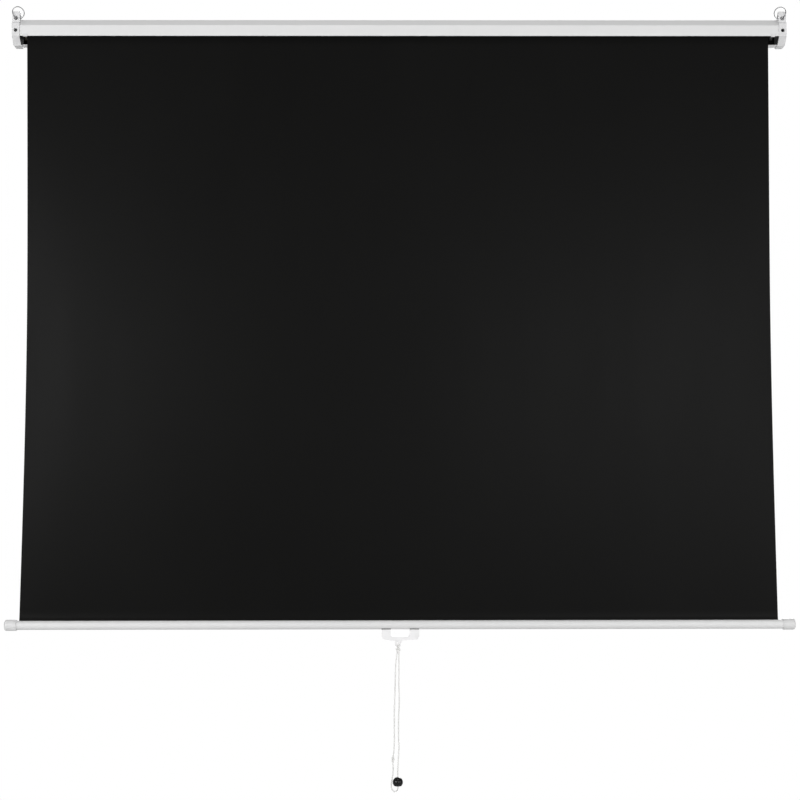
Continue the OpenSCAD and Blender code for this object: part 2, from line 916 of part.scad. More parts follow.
// Front view of the handle without its tongue; the slat's axis is the origin
module handle_outline() {
    side = handle_w / 2;
    shoulder = handle_h - handle_rise - handle_round;
    polygon(concat(
        [[side, -foot_top], [-side, -foot_top]],
        arc_points([-side + handle_round, -shoulder], handle_round, 180, 262, 8),
        [[eyelet_x, -handle_h]],
        arc_points([side - handle_round, -shoulder], handle_round, 278, 360, 8)));
}

// Finger slot: open to the slat, with round lower corners
module finger_slot() {
    side = handle_w / 2 - foot_w;
    low = handle_h - handle_bar;
    polygon(concat(
        [[side, 0], [-side, 0]],
        arc_points([-side + slot_round, -low + slot_round], slot_round, 180, 270, 6),
        arc_points([side - slot_round, -low + slot_round], slot_round, 270, 360, 6)));
}

module in_front(t) {
    translate([0, slat_y + t / 2, slat_z])
        rotate([90, 0, 0])
            linear_extrude(t)
                children();
}

module pull_handle() {
    color("white")
        difference() {
            union() {
                in_front(handle_t)
                    difference() {
                        handle_outline();
                        finger_slot();
                    }
                in_front(eyelet_t)
                    translate([eyelet_x, 0])
                        difference() {
                            union() {
                                translate([-eyelet_end, -eyelet_z])
                                    square([eyelet_w, eyelet_z - handle_h + 6]);
                                translate([0, -eyelet_z])
                                    circle(r = eyelet_end);
                            }
                            translate([0, -eyelet_z])
                                circle(r = eyelet_r);
                        }
            }
            slat_bar(-handle_w, handle_w, slat_r + fit_gap);
            handle_screw_places() {
                translate([0, 0, -screw_seat - cut])
                    cylinder(h = screw_seat, d = screw_d + 2 * fit_gap);
                translate([0, 0, -handle_h - cut])
                    cylinder(h = handle_h + cut - screw_seat, r = screw_head_r + pass_gap);
            }
        }
}

module handle_screws() {
    color("silver")
        handle_screw_places() {
            translate([0, 0, -screw_seat - screw_head_h])
                cylinder(h = screw_head_h, r = screw_head_r);
            translate([0, 0, -screw_seat - 0.1])
                cylinder(h = screw_seat - handle_screw_top, d = screw_d);
        }
}

// The loop through the eyelet and the wrap below it
module cord_hitch() {
    color("white")
        translate([eyelet_x, 0, 0]) {
            cord_run(hitch_route, 100, [1, 0, 0]);
            translate([-wrap_l / 2, slat_y, slat_z + wrap_z])
                rotate([0, 90, 0])
                    cylinder(h = wrap_l, r = wrap_r);
        }
}

module cord_strand_left() {
    color("white")
        cord_run(left_route, ring_gap, [0, 1, 0]);
}

module cord_strand_right() {
    color("white")
        cord_run(right_route, ring_gap, [0, 1, 0]);
}

// The knot as a barrel with drawn-in ends, open for the two ends of the cord
module cord_knot() {
    color("white")
        translate([knot_x, slat_y, slat_z + knot_z - knot_h / 2])
            rotate_extrude($fn = 24)
                polygon(concat(
                    [[0, 0]],
                    [for (k = [0 : 10])
                        let (a = 180 * (k + 1) / 12)
                        [knot_r * pow(sin(a), 0.5), knot_h * k / 10]],
                    [[0, knot_h]]));
}

module pull_ball() {
    color("black")
        translate([ball_x, slat_y, slat_z + ball_z])
            difference() {
                sphere(r = ball_r);
                translate([0, 0, -ball_flat - ball_r])
                    cylinder(h = ball_r, r = ball_r);
                translate([0, 0, -ball_r - cut])
                    cylinder(h = ball_d + 2 * cut, d = ball_bore_d);
            }
}

// Ring through the hole of the right ear; it leans on the hole and leaves by the open side
module hanging_ring() {
    translate([hole_x, ear_set + ear_wall / 2, ring_hole_z + ring_lift])
        rotate([0, 0, -ring_turn])
            translate([-ring_shift, 0, ring_rise])
                rotate([90, 0, 0])
                    rotate_extrude()
                        translate([ring_r, 0])
                            circle(d = ring_wire);
}

module ring_left() {
    color("silver")
        on_left()
            hanging_ring();
}

module ring_right() {
    color("silver")
        hanging_ring();
}

case_profile();
end_cap_left();
end_cap_right();
cap_screws_left();
cap_screws_right();
spear_bracket();
idle_bearing();
lock_spear();
ratchet_wheel();
spring_mandrel();
torsion_spring();
screen_fabric();
roller_tube();
fabric_roll();
spring_end_plug();
idle_end_plug();
idle_pin();
spring_anchor_plug();
plug_rivets();
pawl_pins();
pawl_a();
pawl_b();
slat_tube();
slat_cap_left();
slat_cap_right();
hem_rod();
pull_handle();
handle_screws();
cord_hitch();
cord_strand_left();
cord_strand_right();
cord_knot();
pull_ball();
ring_left();
ring_right();
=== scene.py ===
# Looks of the pull-down projection screen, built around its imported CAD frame.
# Lengths are in metres, in the CAD's frame: +X along the case, -Y the wall side, +Z up.

import json
import logging
import math
from dataclasses import dataclass, field, replace
from enum import Enum

import bmesh
import bpy
import numpy as np
from mathutils import Matrix, Vector


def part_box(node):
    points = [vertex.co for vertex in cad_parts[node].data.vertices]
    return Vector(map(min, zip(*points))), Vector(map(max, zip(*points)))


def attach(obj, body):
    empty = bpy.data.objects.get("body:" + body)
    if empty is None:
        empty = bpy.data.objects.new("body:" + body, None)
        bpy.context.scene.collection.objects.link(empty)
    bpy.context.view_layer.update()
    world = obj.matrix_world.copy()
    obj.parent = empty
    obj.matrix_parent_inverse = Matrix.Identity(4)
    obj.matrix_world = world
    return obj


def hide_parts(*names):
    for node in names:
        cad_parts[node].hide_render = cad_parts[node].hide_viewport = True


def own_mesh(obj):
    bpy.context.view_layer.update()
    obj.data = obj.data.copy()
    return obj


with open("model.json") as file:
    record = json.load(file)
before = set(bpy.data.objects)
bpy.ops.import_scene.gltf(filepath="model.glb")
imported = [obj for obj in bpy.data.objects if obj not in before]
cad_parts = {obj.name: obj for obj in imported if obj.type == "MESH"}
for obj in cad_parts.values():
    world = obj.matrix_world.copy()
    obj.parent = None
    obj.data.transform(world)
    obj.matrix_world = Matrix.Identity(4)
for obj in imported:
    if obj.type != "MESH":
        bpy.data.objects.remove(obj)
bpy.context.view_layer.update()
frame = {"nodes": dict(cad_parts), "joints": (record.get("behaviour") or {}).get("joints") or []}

MM = 0.001
MERGE = 2e-6
SLIVER = 1e-7
LOG = logging.getLogger("screen")
Array = np.ndarray
Triple = tuple[float, float, float]
Socket = bpy.types.NodeSocket
Settings = dict[str | int, Socket | float | tuple[float, ...]]


class Body(Enum):
    """The CAD bodies that pieces ride on."""

    HOUSING = "housing"
    ROLLER = "roller"
    UPPER_PAWL = "upper_pawl"
    LOWER_PAWL = "lower_pawl"
    SLAT = "slat"
    CORD = "pull_cord"
    LEFT_RING = "left_ring"
    RIGHT_RING = "right_ring"


class Side(Enum):
    """The two ends of the screen, as signs along X."""

    LEFT = -1
    RIGHT = 1


@dataclass(frozen=True)
class Box:
    """Lowest and highest corner of one CAD node at rest."""

    low: Array
    high: Array

    @staticmethod
    def of(node: str) -> "Box":
        """The box of a CAD node."""
        low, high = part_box(node)
        return Box(np.array(low), np.array(high))

    @property
    def centre(self) -> Array:
        """The point midway between the two corners."""
        return (self.low + self.high) / 2

    @property
    def size(self) -> Array:
        """The box's three lengths."""
        return self.high - self.low


@dataclass
class Shell:
    """A surface as arrays: points, and faces of four or three corners."""

    points: Array
    quads: Array
    triangles: Array = field(default_factory=lambda: np.zeros((0, 3), int))

    def __add__(self, other: "Shell") -> "Shell":
        """Both surfaces as one, with the second's corners counted on from the first's."""
        start = len(self.points)
        return Shell(
            np.vstack([self.points, other.points]),
            np.vstack([self.quads, other.quads + start]),
            np.vstack([self.triangles, other.triangles + start]),
        )

    def at(self, side: Side) -> "Shell":
        """The surface, drawn for the right end, at a side: the left end has its mirror image."""
        mirrored = Shell(self.points * [-1, 1, 1], self.quads[:, ::-1], self.triangles[:, ::-1])
        return self if side is Side.RIGHT else mirrored


def circle(steps: int) -> Array:
    """The angles of a full turn in even steps, without the last, which is the first again."""
    return np.linspace(0, 2 * math.pi, steps, endpoint=False)


def unit(vectors: Array) -> Array:
    """Vectors cut to a length of one."""
    return vectors / np.linalg.norm(vectors, axis=-1, keepdims=True)


def distances(path: Array) -> Array:
    """How far along a path each of its points lies."""
    return np.concatenate([[0], np.cumsum(np.linalg.norm(np.diff(path, axis=0), axis=1))])


def arc(centre: tuple[float, float], radius: float, start: float, end: float, steps: int) -> Array:
    """Points centre + radius (cos a, sin a), with a in degrees from start to end in even steps."""
    a = np.radians(np.linspace(start, end, steps + 1))
    return np.array(centre) + radius * np.stack([np.cos(a), np.sin(a)], 1)


def strip(middle: float, half: float, first: float, last: float, steps: int) -> Array:
    """Outline of a bent strip about the origin: an arc outside, one inside, and a round end at each.

    Args:
        middle: Radius of the strip's middle line.
        half: Half its thickness.
        first: Angle at which it starts, in degrees.
        last: Angle at which it ends.
        steps: Number of steps along an arc.

    Returns:
        A closed outline.
    """
    start, end = (arc((0, 0), middle, angle, angle, 0)[0] for angle in (first, last))
    return np.vstack(
        [
            arc((0, 0), middle + half, first, last, steps),
            arc(end, half, last, last + 180, 8)[1:-1],
            arc((0, 0), middle - half, last, first, steps),
            arc(start, half, first + 180, first + 360, 8)[1:-1],
        ]
    )


def net(rows: int, columns: int, round_rows: bool = False, round_columns: bool = False) -> Array:
    """Quads of a grid of points: corners (i, j), (i, j+1), (i+1, j+1), (i+1, j) for each cell.

    Args:
        rows: Number of rows of points.
        columns: Number of points in a row.
        round_rows: Whether the last row meets the first.
        round_columns: Whether a row's last point meets its first.

    Returns:
        An array of quads.
    """
    i = np.arange(rows if round_rows else rows - 1)[:, None]
    j = np.arange(columns if round_columns else columns - 1)[None, :]
    i2, j2 = (i + 1) % rows, (j + 1) % columns
    corners = [i * columns + j, i * columns + j2, i2 * columns + j2, i2 * columns + j]
    return np.stack([c + 0 * (i + j) for c in corners], -1).reshape(-1, 4)


def fan(first: int, count: int, hub: int) -> Array:
    """Triangles (hub, k, k+1) from a hub all the way round a ring of points."""
    k = np.arange(count)
    return np.stack([np.full(count, hub), first + k, first + (k + 1) % count], 1)


def tube(rings: Array) -> Shell:
    """A closed tube through rings of points, with a fan over each end from the ring's mean point.

    Args:
        rings: Points in the order ring, place on the ring, coordinate.

    Returns:
        The tube's surface.
    """
    count, sides, _ = rings.shape
    points = np.vstack([rings.reshape(-1, 3), rings[[0, -1]].mean(1)])
    last = (count - 1) * sides
    ends = np.vstack([fan(0, sides, count * sides)[:, ::-1], fan(last, sides, count * sides + 1)])
    return Shell(points, net(count, sides, round_columns=True), ends)


def turned(
    profile: Array, centre: Array, axis: str, sides: int, closed: bool = False, sink: float = 0
) -> Shell:
    """A profile turned about an axis: each point (along, r) goes to centre + along a + r (cos t b + sin t c).
    For a screw's head the first three rings sink along the axis where their points lie in the arms
    of a cross, that is less than 0.16 head radii from one of two lines through the middle.

    Args:
        profile: Points as distance along the axis and radius.
        centre: The point on the axis that distances count from.
        axis: "x" or "z".
        sides: Number of steps around.
        closed: Whether the profile is a closed loop, so that nothing needs capping.
        sink: How far the cross recess goes along the axis.

    Returns:
        The turned surface.
    """
    t = circle(sides)
    along, r = profile[:, :1] + 0 * t, profile[:, 1:] + 0 * t
    off, arm = r * np.minimum(np.abs(np.sin(t)), np.abs(np.cos(t))), 0.16 * r.max()
    along[:3] += sink * (off[:3] < arm)
    across = [r * np.cos(t), r * np.sin(t)]
    rings = np.stack([along, *across] if axis == "x" else [*across, along], -1) + centre
    return Shell(rings.reshape(-1, 3), net(len(profile), sides, True, True)) if closed else tube(rings)


def extruded(outline: Array, start: float, end: float, centre: Array) -> Shell:
    """The walls of a closed outline (y, z) about a centre, carried along X. Their ends are open."""
    rows = np.vstack([np.insert(outline + centre, 0, x, axis=1) for x in (start, end)])
    return Shell(rows, net(2, len(outline), round_columns=True))


def sleeve(path: Array, first: Array, second: Array, radius: Array | float, sides: int) -> Shell:
    """A tube along a path: path + r (cos t first + sin t second), with t going round it."""
    t = circle(sides)[None, :, None]
    return tube(path[:, None] + radius * (np.cos(t) * first[:, None] + np.sin(t) * second[:, None]))


def smooth_line(route: Array, step: float) -> Array:
    """A smooth curve through a route's points, by cubic pieces whose slope at a point is half the
    vector between its neighbours, cut into points that lie a step apart along it.

    Args:
        route: The points that the curve goes through.
        step: Distance between the points returned.

    Returns:
        Points evenly spaced along the curve, both ends among them.
    """
    p = np.vstack([route[:1], route, route[-1:]])
    t = np.linspace(0, 1, 24, endpoint=False)[None, :, None]
    a, b, c, d = (p[k : len(route) - 1 + k][:, None, :] for k in range(4))
    cubic = 2 * b + (c - a) * t + (2 * a - 5 * b + 4 * c - d) * t**2 + (3 * b - a - 3 * c + d) * t**3
    fine = np.vstack([0.5 * cubic.reshape(-1, 3), route[-1:]])
    far = distances(fine)
    places = np.linspace(0, far[-1], max(2, round(far[-1] / step) + 1))
    return np.stack([np.interp(places, far, fine[:, k]) for k in range(3)], 1)


def braided(path: Array, side: Array, radius: float) -> Shell:
    """A braided cord along a path. At distance s and angle t its radius is R (0.9 + 0.1 h), where
    h is the root of |cos(3t + k s) cos(3t - k s)|: two sets of strands that cross.

    Args:
        path: Points of the centreline.
        side: A direction square to the whole path, or one for each point.
        radius: The cord's radius.

    Returns:
        The cord's surface.
    """
    lay, sides = 9 * MM, 24
    along = unit(np.gradient(path, axis=0))
    across = unit(np.cross(along, side))
    s, t, k = distances(path)[:, None], circle(sides)[None, :], 3 * math.pi / lay
    bump = np.sqrt(np.abs(np.cos(3 * t + k * s) * np.cos(3 * t - k * s)))
    r = (radius * (0.9 + 0.1 * bump))[..., None]
    return sleeve(path, across, np.cross(across, along), r, sides)


def knit(mesh: bpy.types.Mesh, flat: float = 0) -> None:
    """Merges a mesh's doubles and turns its faces outwards.

    Args:
        mesh: The mesh.
        flat: Faces that meet at less than this many degrees become one. At 0, slivers go and open
            ends are filled instead.
    """
    work = bmesh.new()
    work.from_mesh(mesh)
    bmesh.ops.remove_doubles(work, verts=work.verts, dist=MERGE)
    if flat:
        bmesh.ops.dissolve_limit(work, angle_limit=math.radians(flat), verts=work.verts, edges=work.edges)
    else:
        bmesh.ops.dissolve_degenerate(work, edges=work.edges, dist=SLIVER)
        bmesh.ops.holes_fill(work, edges=[e for e in work.edges if e.is_boundary], sides=0)
    bmesh.ops.recalc_face_normals(work, faces=work.faces)
    work.to_mesh(mesh)
    work.free()


class Recipe:
    """One material's node tree, and the few steps that the finishes are made of."""

    def __init__(self, name: str) -> None:
        """Starts a material with its shader and its coordinates."""
        self.material = bpy.data.materials.new(name)
        self.material.use_nodes = True
        self.tree = self.material.node_tree
        self.shader = self.tree.nodes["Principled BSDF"]
        self.places = self.tree.nodes.new("ShaderNodeTexCoord")

    def plain(self, **values: float | tuple[float, ...]) -> None:
        """Sets numbers and colours that are the same all over, on the shader itself."""
        for name, value in values.items():
            self.shader.inputs[name.replace("_", " ")].default_value = value

    def feed(self, value: Socket, name: str) -> None:
        """Links a value to one of the shader's inputs."""
        self.tree.links.new(value, self.shader.inputs[name])

    def node(self, kind: str, inputs: Settings, **options: str) -> bpy.types.NodeOutputs:
        """Adds a node to the tree.

        Args:
            kind: The node's type, without the prefix that all of them have.
            inputs: Sockets to link, and numbers and colours to set, by the inputs' names or places.
            options: The node's own choices.

        Returns:
            The node's outputs.
        """
        node = self.tree.nodes.new("ShaderNode" + kind)
        for name, choice in options.items():
            setattr(node, name, choice)
        for name, value in inputs.items():
            if isinstance(value, Socket):
                self.tree.links.new(value, node.inputs[name])
            else:
                node.inputs[name].default_value = value
        return node.outputs

    def stretch(self, scale: Triple, source: str) -> Socket:
        """The "Object" coordinates, or the "UV" places on cloth, times a scale along each axis."""
        return self.node("Mapping", {"Scale": scale, "Vector": self.places.outputs[source]})["Vector"]

    def noise(self, scale: Triple, detail: float = 2, rough: float = 0.5, source: str = "Object") -> Socket:
        """Soft noise around a half.

        Args:
            scale: Blots per metre along the three axes.
            detail: Number of finer layers.
            rough: Strength of the finer layers.
            source: "Object", or "UV" for places on cloth.

        Returns:
            The noise.
        """
        layers = {"Scale": 1.0, "Detail": detail, "Roughness": rough}
        return self.node("TexNoise", {**layers, "Vector": self.stretch(scale, source)})["Fac"]

    def weave(self) -> Socket:
        """Threads on cloth.

        Returns:
            The larger of a wave across the cloth and one along it.
        """
        threads = {"Scale": 1.0, "Distortion": 0.4, "Vector": self.stretch((340, 340, 1), "UV")}
        waves = [self.node("TexWave", threads, bands_direction=way)["Fac"] for way in "XY"]
        return self.math("MAXIMUM", *waves)

    def math(self, kind: str, *values: Socket | float) -> Socket:
        """One sum on sockets or numbers, named as the Math node names it."""
        return self.node("Math", dict(enumerate(values)), operation=kind)["Value"]

    def spread(self, value: Socket, low: float, high: float, start: float = 0.3, end: float = 0.7) -> Socket:
        """A value from start to end mapped to low to high."""
        limits = {"From Min": start, "From Max": end, "To Min": low, "To Max": high}
        return self.node("MapRange", {**limits, "Value": value})["Result"]

    def tint(self, share: Socket, first: Triple, second: Triple) -> None:
        """Colours the piece between two colours, by a share from 0 to 1."""
        mix = self.node("Mix", {6: (*first, 1), 7: (*second, 1), 0: share}, data_type="RGBA")
        self.feed(mix[2], "Base Color")

    def mottle(self, blots: Socket, colour: Triple, share: float) -> None:
        """Colours the piece, drifting to the colour times a share in a noise's blots."""
        self.tint(self.spread(blots, 0, 1), colour, tuple(c * share for c in colour))

    def gloss(self, blots: Socket, roughness: float, less: float, more: float) -> None:
        """Lets the roughness go below and above its value with a noise's blots."""
        self.feed(self.spread(blots, roughness - less, roughness + more), "Roughness")

    def relief(self, height: Socket, depth: float) -> None:
        """Adds a bump over what the surface already has.

        Args:
            height: The bump's form, from 0 to 1.
            depth: Its depth in metres.
        """
        normal = self.shader.inputs["Normal"]
        under = {"Normal": normal.links[0].from_socket} if normal.is_linked else {}
        bump = self.node("Bump", {"Strength": 1.0, "Distance": depth, "Height": height, **under})
        self.feed(bump["Normal"], "Normal")


@dataclass(frozen=True)
class Finish:
    """What every finish has: a name, the record's slot that it fills, and its linear base colour."""

    name: str
    slot: str
    colour: Triple

    def mix(self, recipe: Recipe) -> None:
        """Adds the finish's own nodes to a material's recipe."""
        raise NotImplementedError


@dataclass(frozen=True)
class PowderCoat(Finish):
    """Baked paint on sheet metal: even colour, a fine orange peel and slow changes of gloss."""

    roughness: float = 0.42
    peel: float = 12e-6
    swell: float = 40e-6

    def mix(self, recipe: Recipe) -> None:
        """Adds colour drift, gloss drift and the peel.

        Args:
            recipe: The material's recipe.
        """
        recipe.plain(Metallic=0.0, IOR=1.48)
        recipe.mottle(recipe.noise((1.6, 9, 9)), self.colour, 0.965)
        recipe.gloss(recipe.noise((14, 60, 60), 3), self.roughness, 0.05, 0.07)
        recipe.relief(recipe.noise((900, 900, 900)), self.peel)
        recipe.relief(recipe.noise((5, 24, 24), 1), self.swell)


@dataclass(frozen=True)
class MouldedPlastic(Finish):
    """Injection-moulded plastic: a fine spark-eroded grain and faint flow marks."""

    roughness: float = 0.45
    grain: float = 10e-6
    scatter: float = 0.06

    def mix(self, recipe: Recipe) -> None:
        """Adds flow marks, gloss changes and the grain.

        Args:
            recipe: The material's recipe.
        """
        recipe.plain(Metallic=0.0, IOR=1.5, Subsurface_Weight=self.scatter)
        recipe.plain(Subsurface_Radius=(0.004, 0.004, 0.004), Subsurface_Scale=0.5)
        recipe.mottle(recipe.noise((40, 40, 25), 3, 0.6), self.colour, 0.95)
        recipe.gloss(recipe.noise((150, 150, 150), 4, 0.65), self.roughness, 0.06, 0.1)
        recipe.relief(recipe.noise((3200, 3200, 3200), 1), self.grain)


@dataclass(frozen=True)
class Steel(Finish):
    """Bare or plated metal, with drawing marks along one axis."""

    roughness: float = 0.3
    drawn: Triple = (30, 2500, 2500)
    depth: float = 4e-6

    def mix(self, recipe: Recipe) -> None:
        """Adds clouded plating and drawing marks.

        Args:
            recipe: The material's recipe.
        """
        recipe.plain(Metallic=1.0)
        recipe.mottle(recipe.noise((90, 90, 90), 4, 0.6), self.colour, 0.88)
        marks = recipe.noise(self.drawn)
        recipe.gloss(marks, self.roughness, 0.08, 0.12)
        recipe.relief(marks, self.depth)


@dataclass(frozen=True)
class BlackVinyl(Finish):
    """The light-proof black back of the screen: a shallow pebbled coat over a woven base."""

    roughness: float = 0.37
    coat: float = 0.08

    def mix(self, recipe: Recipe) -> None:
        """Adds the weave that shows through, pebbles, and soft patches of sheen.

        Args:
            recipe: The material's recipe.
        """
        recipe.plain(Metallic=0.0, IOR=1.46, Specular_IOR_Level=self.coat)
        recipe.mottle(recipe.noise((2.2, 1.7, 1), 3, 0.55, "UV"), self.colour, 0.82)
        recipe.gloss(recipe.noise((11, 1.6, 1), 3, 0.6, "UV"), self.roughness, 0.015, 0.02)
        recipe.relief(recipe.weave(), 24e-6)
        recipe.relief(recipe.noise((1500, 1500, 1), source="UV"), 16e-6)


@dataclass(frozen=True)
class ProjectionFace(Finish):
    """The matt white face, with a black border printed round it."""

    border: float = 45 * MM
    top_border: float = 90 * MM
    fade: float = 0.6 * MM
    black: Triple = (0.012, 0.012, 0.013)
    width: float = 2.0
    height: float = 1.6

    def mix(self, recipe: Recipe) -> None:
        """Adds the border by the cloth's own places, and the matt face's tooth.

        Args:
            recipe: The material's recipe.
        """
        recipe.plain(Metallic=0.0, IOR=1.45, Specular_IOR_Level=0.25, Roughness=0.85)
        place = recipe.node("SeparateXYZ", {"Vector": recipe.places.outputs["UV"]})
        from_side = recipe.math("MINIMUM", place["X"], recipe.math("SUBTRACT", self.width, place["X"]))
        from_low = recipe.math("SUBTRACT", self.height, place["Y"])
        from_top = recipe.math("SUBTRACT", place["Y"], self.top_border - self.border)
        inside = recipe.math("MINIMUM", recipe.math("MINIMUM", from_top, from_low), from_side)
        printed = recipe.spread(inside, 0, 1, self.border, self.border + self.fade)
        recipe.tint(printed, self.black, self.colour)
        recipe.relief(recipe.weave(), 18e-6)
        recipe.relief(recipe.noise((2400, 2400, 1), source="UV"), 14e-6)


@dataclass(frozen=True)
class CordYarn(Finish):
    """Braided yarn: fine fibres, a soft sheen and slightly soiled, uneven whiteness."""

    sheen: float = 0.35

    def mix(self, recipe: Recipe) -> None:
        """Adds fibres and uneven whiteness.

        Args:
            recipe: The material's recipe.
        """
        recipe.plain(Metallic=0.0, Roughness=0.8, Sheen_Weight=self.sheen, Sheen_Roughness=0.5)
        recipe.mottle(recipe.noise((260, 260, 60), 4, 0.6), self.colour, 0.92)
        recipe.relief(recipe.noise((5200, 5200, 1400)), 24e-6)


@dataclass(frozen=True)
class PolishedPlastic(Finish):
    """Glossy turned plastic under a clear skin, with hairline handling marks."""

    roughness: float = 0.12

    def mix(self, recipe: Recipe) -> None:
        """Adds hairlines to the gloss.

        Args:
            recipe: The material's recipe.
        """
        recipe.plain(Metallic=0.0, IOR=1.5, Specular_IOR_Level=0.35)
        recipe.gloss(recipe.noise((700, 700, 60), 5, 0.7), self.roughness, 0.04, 0.1)
        recipe.mottle(recipe.noise((60, 60, 60)), self.colour, 1.5)


@dataclass(frozen=True)
class Palette:
    """Every finish of the screen."""

    case: Finish = PowderCoat("case_powder_coat", "case_paint", (0.80, 0.80, 0.80))
    # Painted shade: a near-black coat on the case's inner faces stands in for the dark inside of the case.
    painted_shade_lining: Finish = PowderCoat("case_inside_painted_shade", "case_paint", (0.022, 0.022, 0.022), 0.62)
    caps: Finish = MouldedPlastic("end_cap_plastic", "cap_plastic", (0.76, 0.76, 0.765), 0.5, 14e-6)
    slat: Finish = PowderCoat("slat_enamel", "slat_paint", (0.80, 0.80, 0.80), 0.46, 5e-6, 12e-6)
    slat_caps: Finish = MouldedPlastic("slat_cap_plastic", "slat_cap_plastic", (0.78, 0.78, 0.78), 0.36, 5e-6)
    handle: Finish = MouldedPlastic("handle_plastic", "handle_plastic", (0.96, 0.955, 0.96), 0.34, 5e-6)
    # Painted shadow: a near-black finish for the strips that stand in for the contact shade under the
    # handle's feet.
    shadow_pads: Finish = MouldedPlastic("shadow_pad_black", "ball_plastic", (0.012, 0.012, 0.012), 0.7, scatter=0.0)
    plugs: Finish = MouldedPlastic("plug_plastic", "plug_plastic", (0.08, 0.08, 0.078), 0.5)
    zinc: Finish = Steel("zinc_plate", "zinc_steel", (0.60, 0.61, 0.63), 0.34)
    roller: Finish = Steel("dull_zinc", "zinc_steel", (0.15, 0.15, 0.16), 0.5)
    bare: Finish = Steel("drawn_steel", "bare_steel", (0.46, 0.46, 0.48), 0.26)
    passivated: Finish = Steel("yellow_zinc", "brass_plate", (0.62, 0.50, 0.24), drawn=(900, 900, 900))
    spring: Finish = Steel("oiled_spring_steel", "spring_steel", (0.16, 0.16, 0.18))
    nickel: Finish = Steel("nickel_plate", "ring_nickel", (0.36, 0.36, 0.37), 0.2, (160, 160, 160), 5e-7)
    back: Finish = BlackVinyl("screen_back", "screen_cloth", (0.0049, 0.0049, 0.0047))
    face: Finish = ProjectionFace("screen_face", "screen_cloth", (0.80, 0.80, 0.79))
    yarn: Finish = CordYarn("cord_yarn", "cord_braid", (0.88, 0.875, 0.86))
    ball: Finish = PolishedPlastic("ball_plastic", "ball_plastic", (0.004, 0.004, 0.0044))


class Workshop:
    """Turns surfaces into finished pieces: materials, smoothing and bodies."""

    def __init__(self) -> None:
        """Sets out the palette, with no material made yet."""
        self.palette = Palette()
        self.made: dict[str, bpy.types.Material] = {}
        self.count = 0

    def paint(self, finish: Finish) -> bpy.types.Material:
        """The material of a finish, made when it is first asked for.

        Args:
            finish: The finish.

        Returns:
            Its material.
        """
        if finish.name not in self.made:
            recipe = Recipe(finish.name)
            finish.mix(recipe)
            self.made[finish.name] = recipe.material
        return self.made[finish.name]

    def seat(
        self, name: str, mesh: bpy.types.Mesh, finish: Finish, body: Body, nodes: tuple[str, ...]
    ) -> bpy.types.Object:
        """Makes a mesh an object with its finish and body, and reports it.

        Args:
            name: The piece's name.
            mesh: Its mesh.
            finish: Its finish, which knows the slot.
            body: The CAD body that it rides on.
            nodes: CAD nodes that it stands for.

        Returns:
            The new object.
        """
        mesh.materials.append(self.paint(finish))
        thing = bpy.data.objects.new(name, mesh)
        bpy.context.scene.collection.objects.link(thing)
        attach(thing, body.value)
        if nodes:
            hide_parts(*nodes)
        self.count += 1
        LOG.info("%s rides on %s, %d faces", name, body.value, len(mesh.polygons))
        return thing

    def piece(
        self, name: str, shell: Shell, finish: Finish, body: Body, *nodes: str,
        sharp: float = 32, closed: bool = True,
    ) -> bpy.types.Object:
        """Makes an object from a surface.

        Args:
            name: The piece's name.
            shell: Its surface.
            finish: Its finish.
            body: The CAD body that it rides on.
            nodes: CAD nodes that it stands for.
            sharp: Edges whose faces meet at more than this many degrees stay sharp.
            closed: Whether doubles are merged, open ends filled and normals turned outwards.

        Returns:
            The new object.
        """
        mesh = bpy.data.meshes.new(name)
        mesh.from_pydata(shell.points.tolist(), [], shell.quads.tolist() + shell.triangles.tolist())
        if closed:
            knit(mesh)
        mesh.shade_smooth()
        mesh.set_sharp_from_angle(angle=math.radians(sharp))
        return self.seat(name, mesh, finish, body, nodes)

    def softened(self, node: str, finish: Finish, body: Body, width: float, steps: int = 2) -> None:
        """Puts a copy of a CAD node with its sharp edges rounded in the node's place.

        Args:
            node: The CAD node, which the copy stands for.
            finish: The copy's finish.
            body: The CAD body that it rides on.
            width: How far the rounding reaches from an edge.
            steps: Number of faces across the rounding.
        """
        mesh = frame["nodes"][node].data.copy()
        mesh.name = node + "_dressed"
        mesh.materials.clear()
        knit(mesh, flat=0.4)
        mesh.shade_smooth()
        thing = self.seat(node + "_dressed", mesh, finish, body, (node,))
        rounding = thing.modifiers.new("rounding", "BEVEL")
        rounding.width, rounding.segments = width, steps
        rounding.limit_method, rounding.angle_limit = "ANGLE", math.radians(35)
        rounding.harden_normals = False
        thing.modifiers.new("even", "WEIGHTED_NORMAL").keep_sharp = True


@dataclass
class SubAssembly:
    """What every sub-assembly has: the workshop that finishes its pieces."""

    shop: Workshop

    def build(self) -> None:
        """Makes the sub-assembly's pieces."""
        raise NotImplementedError


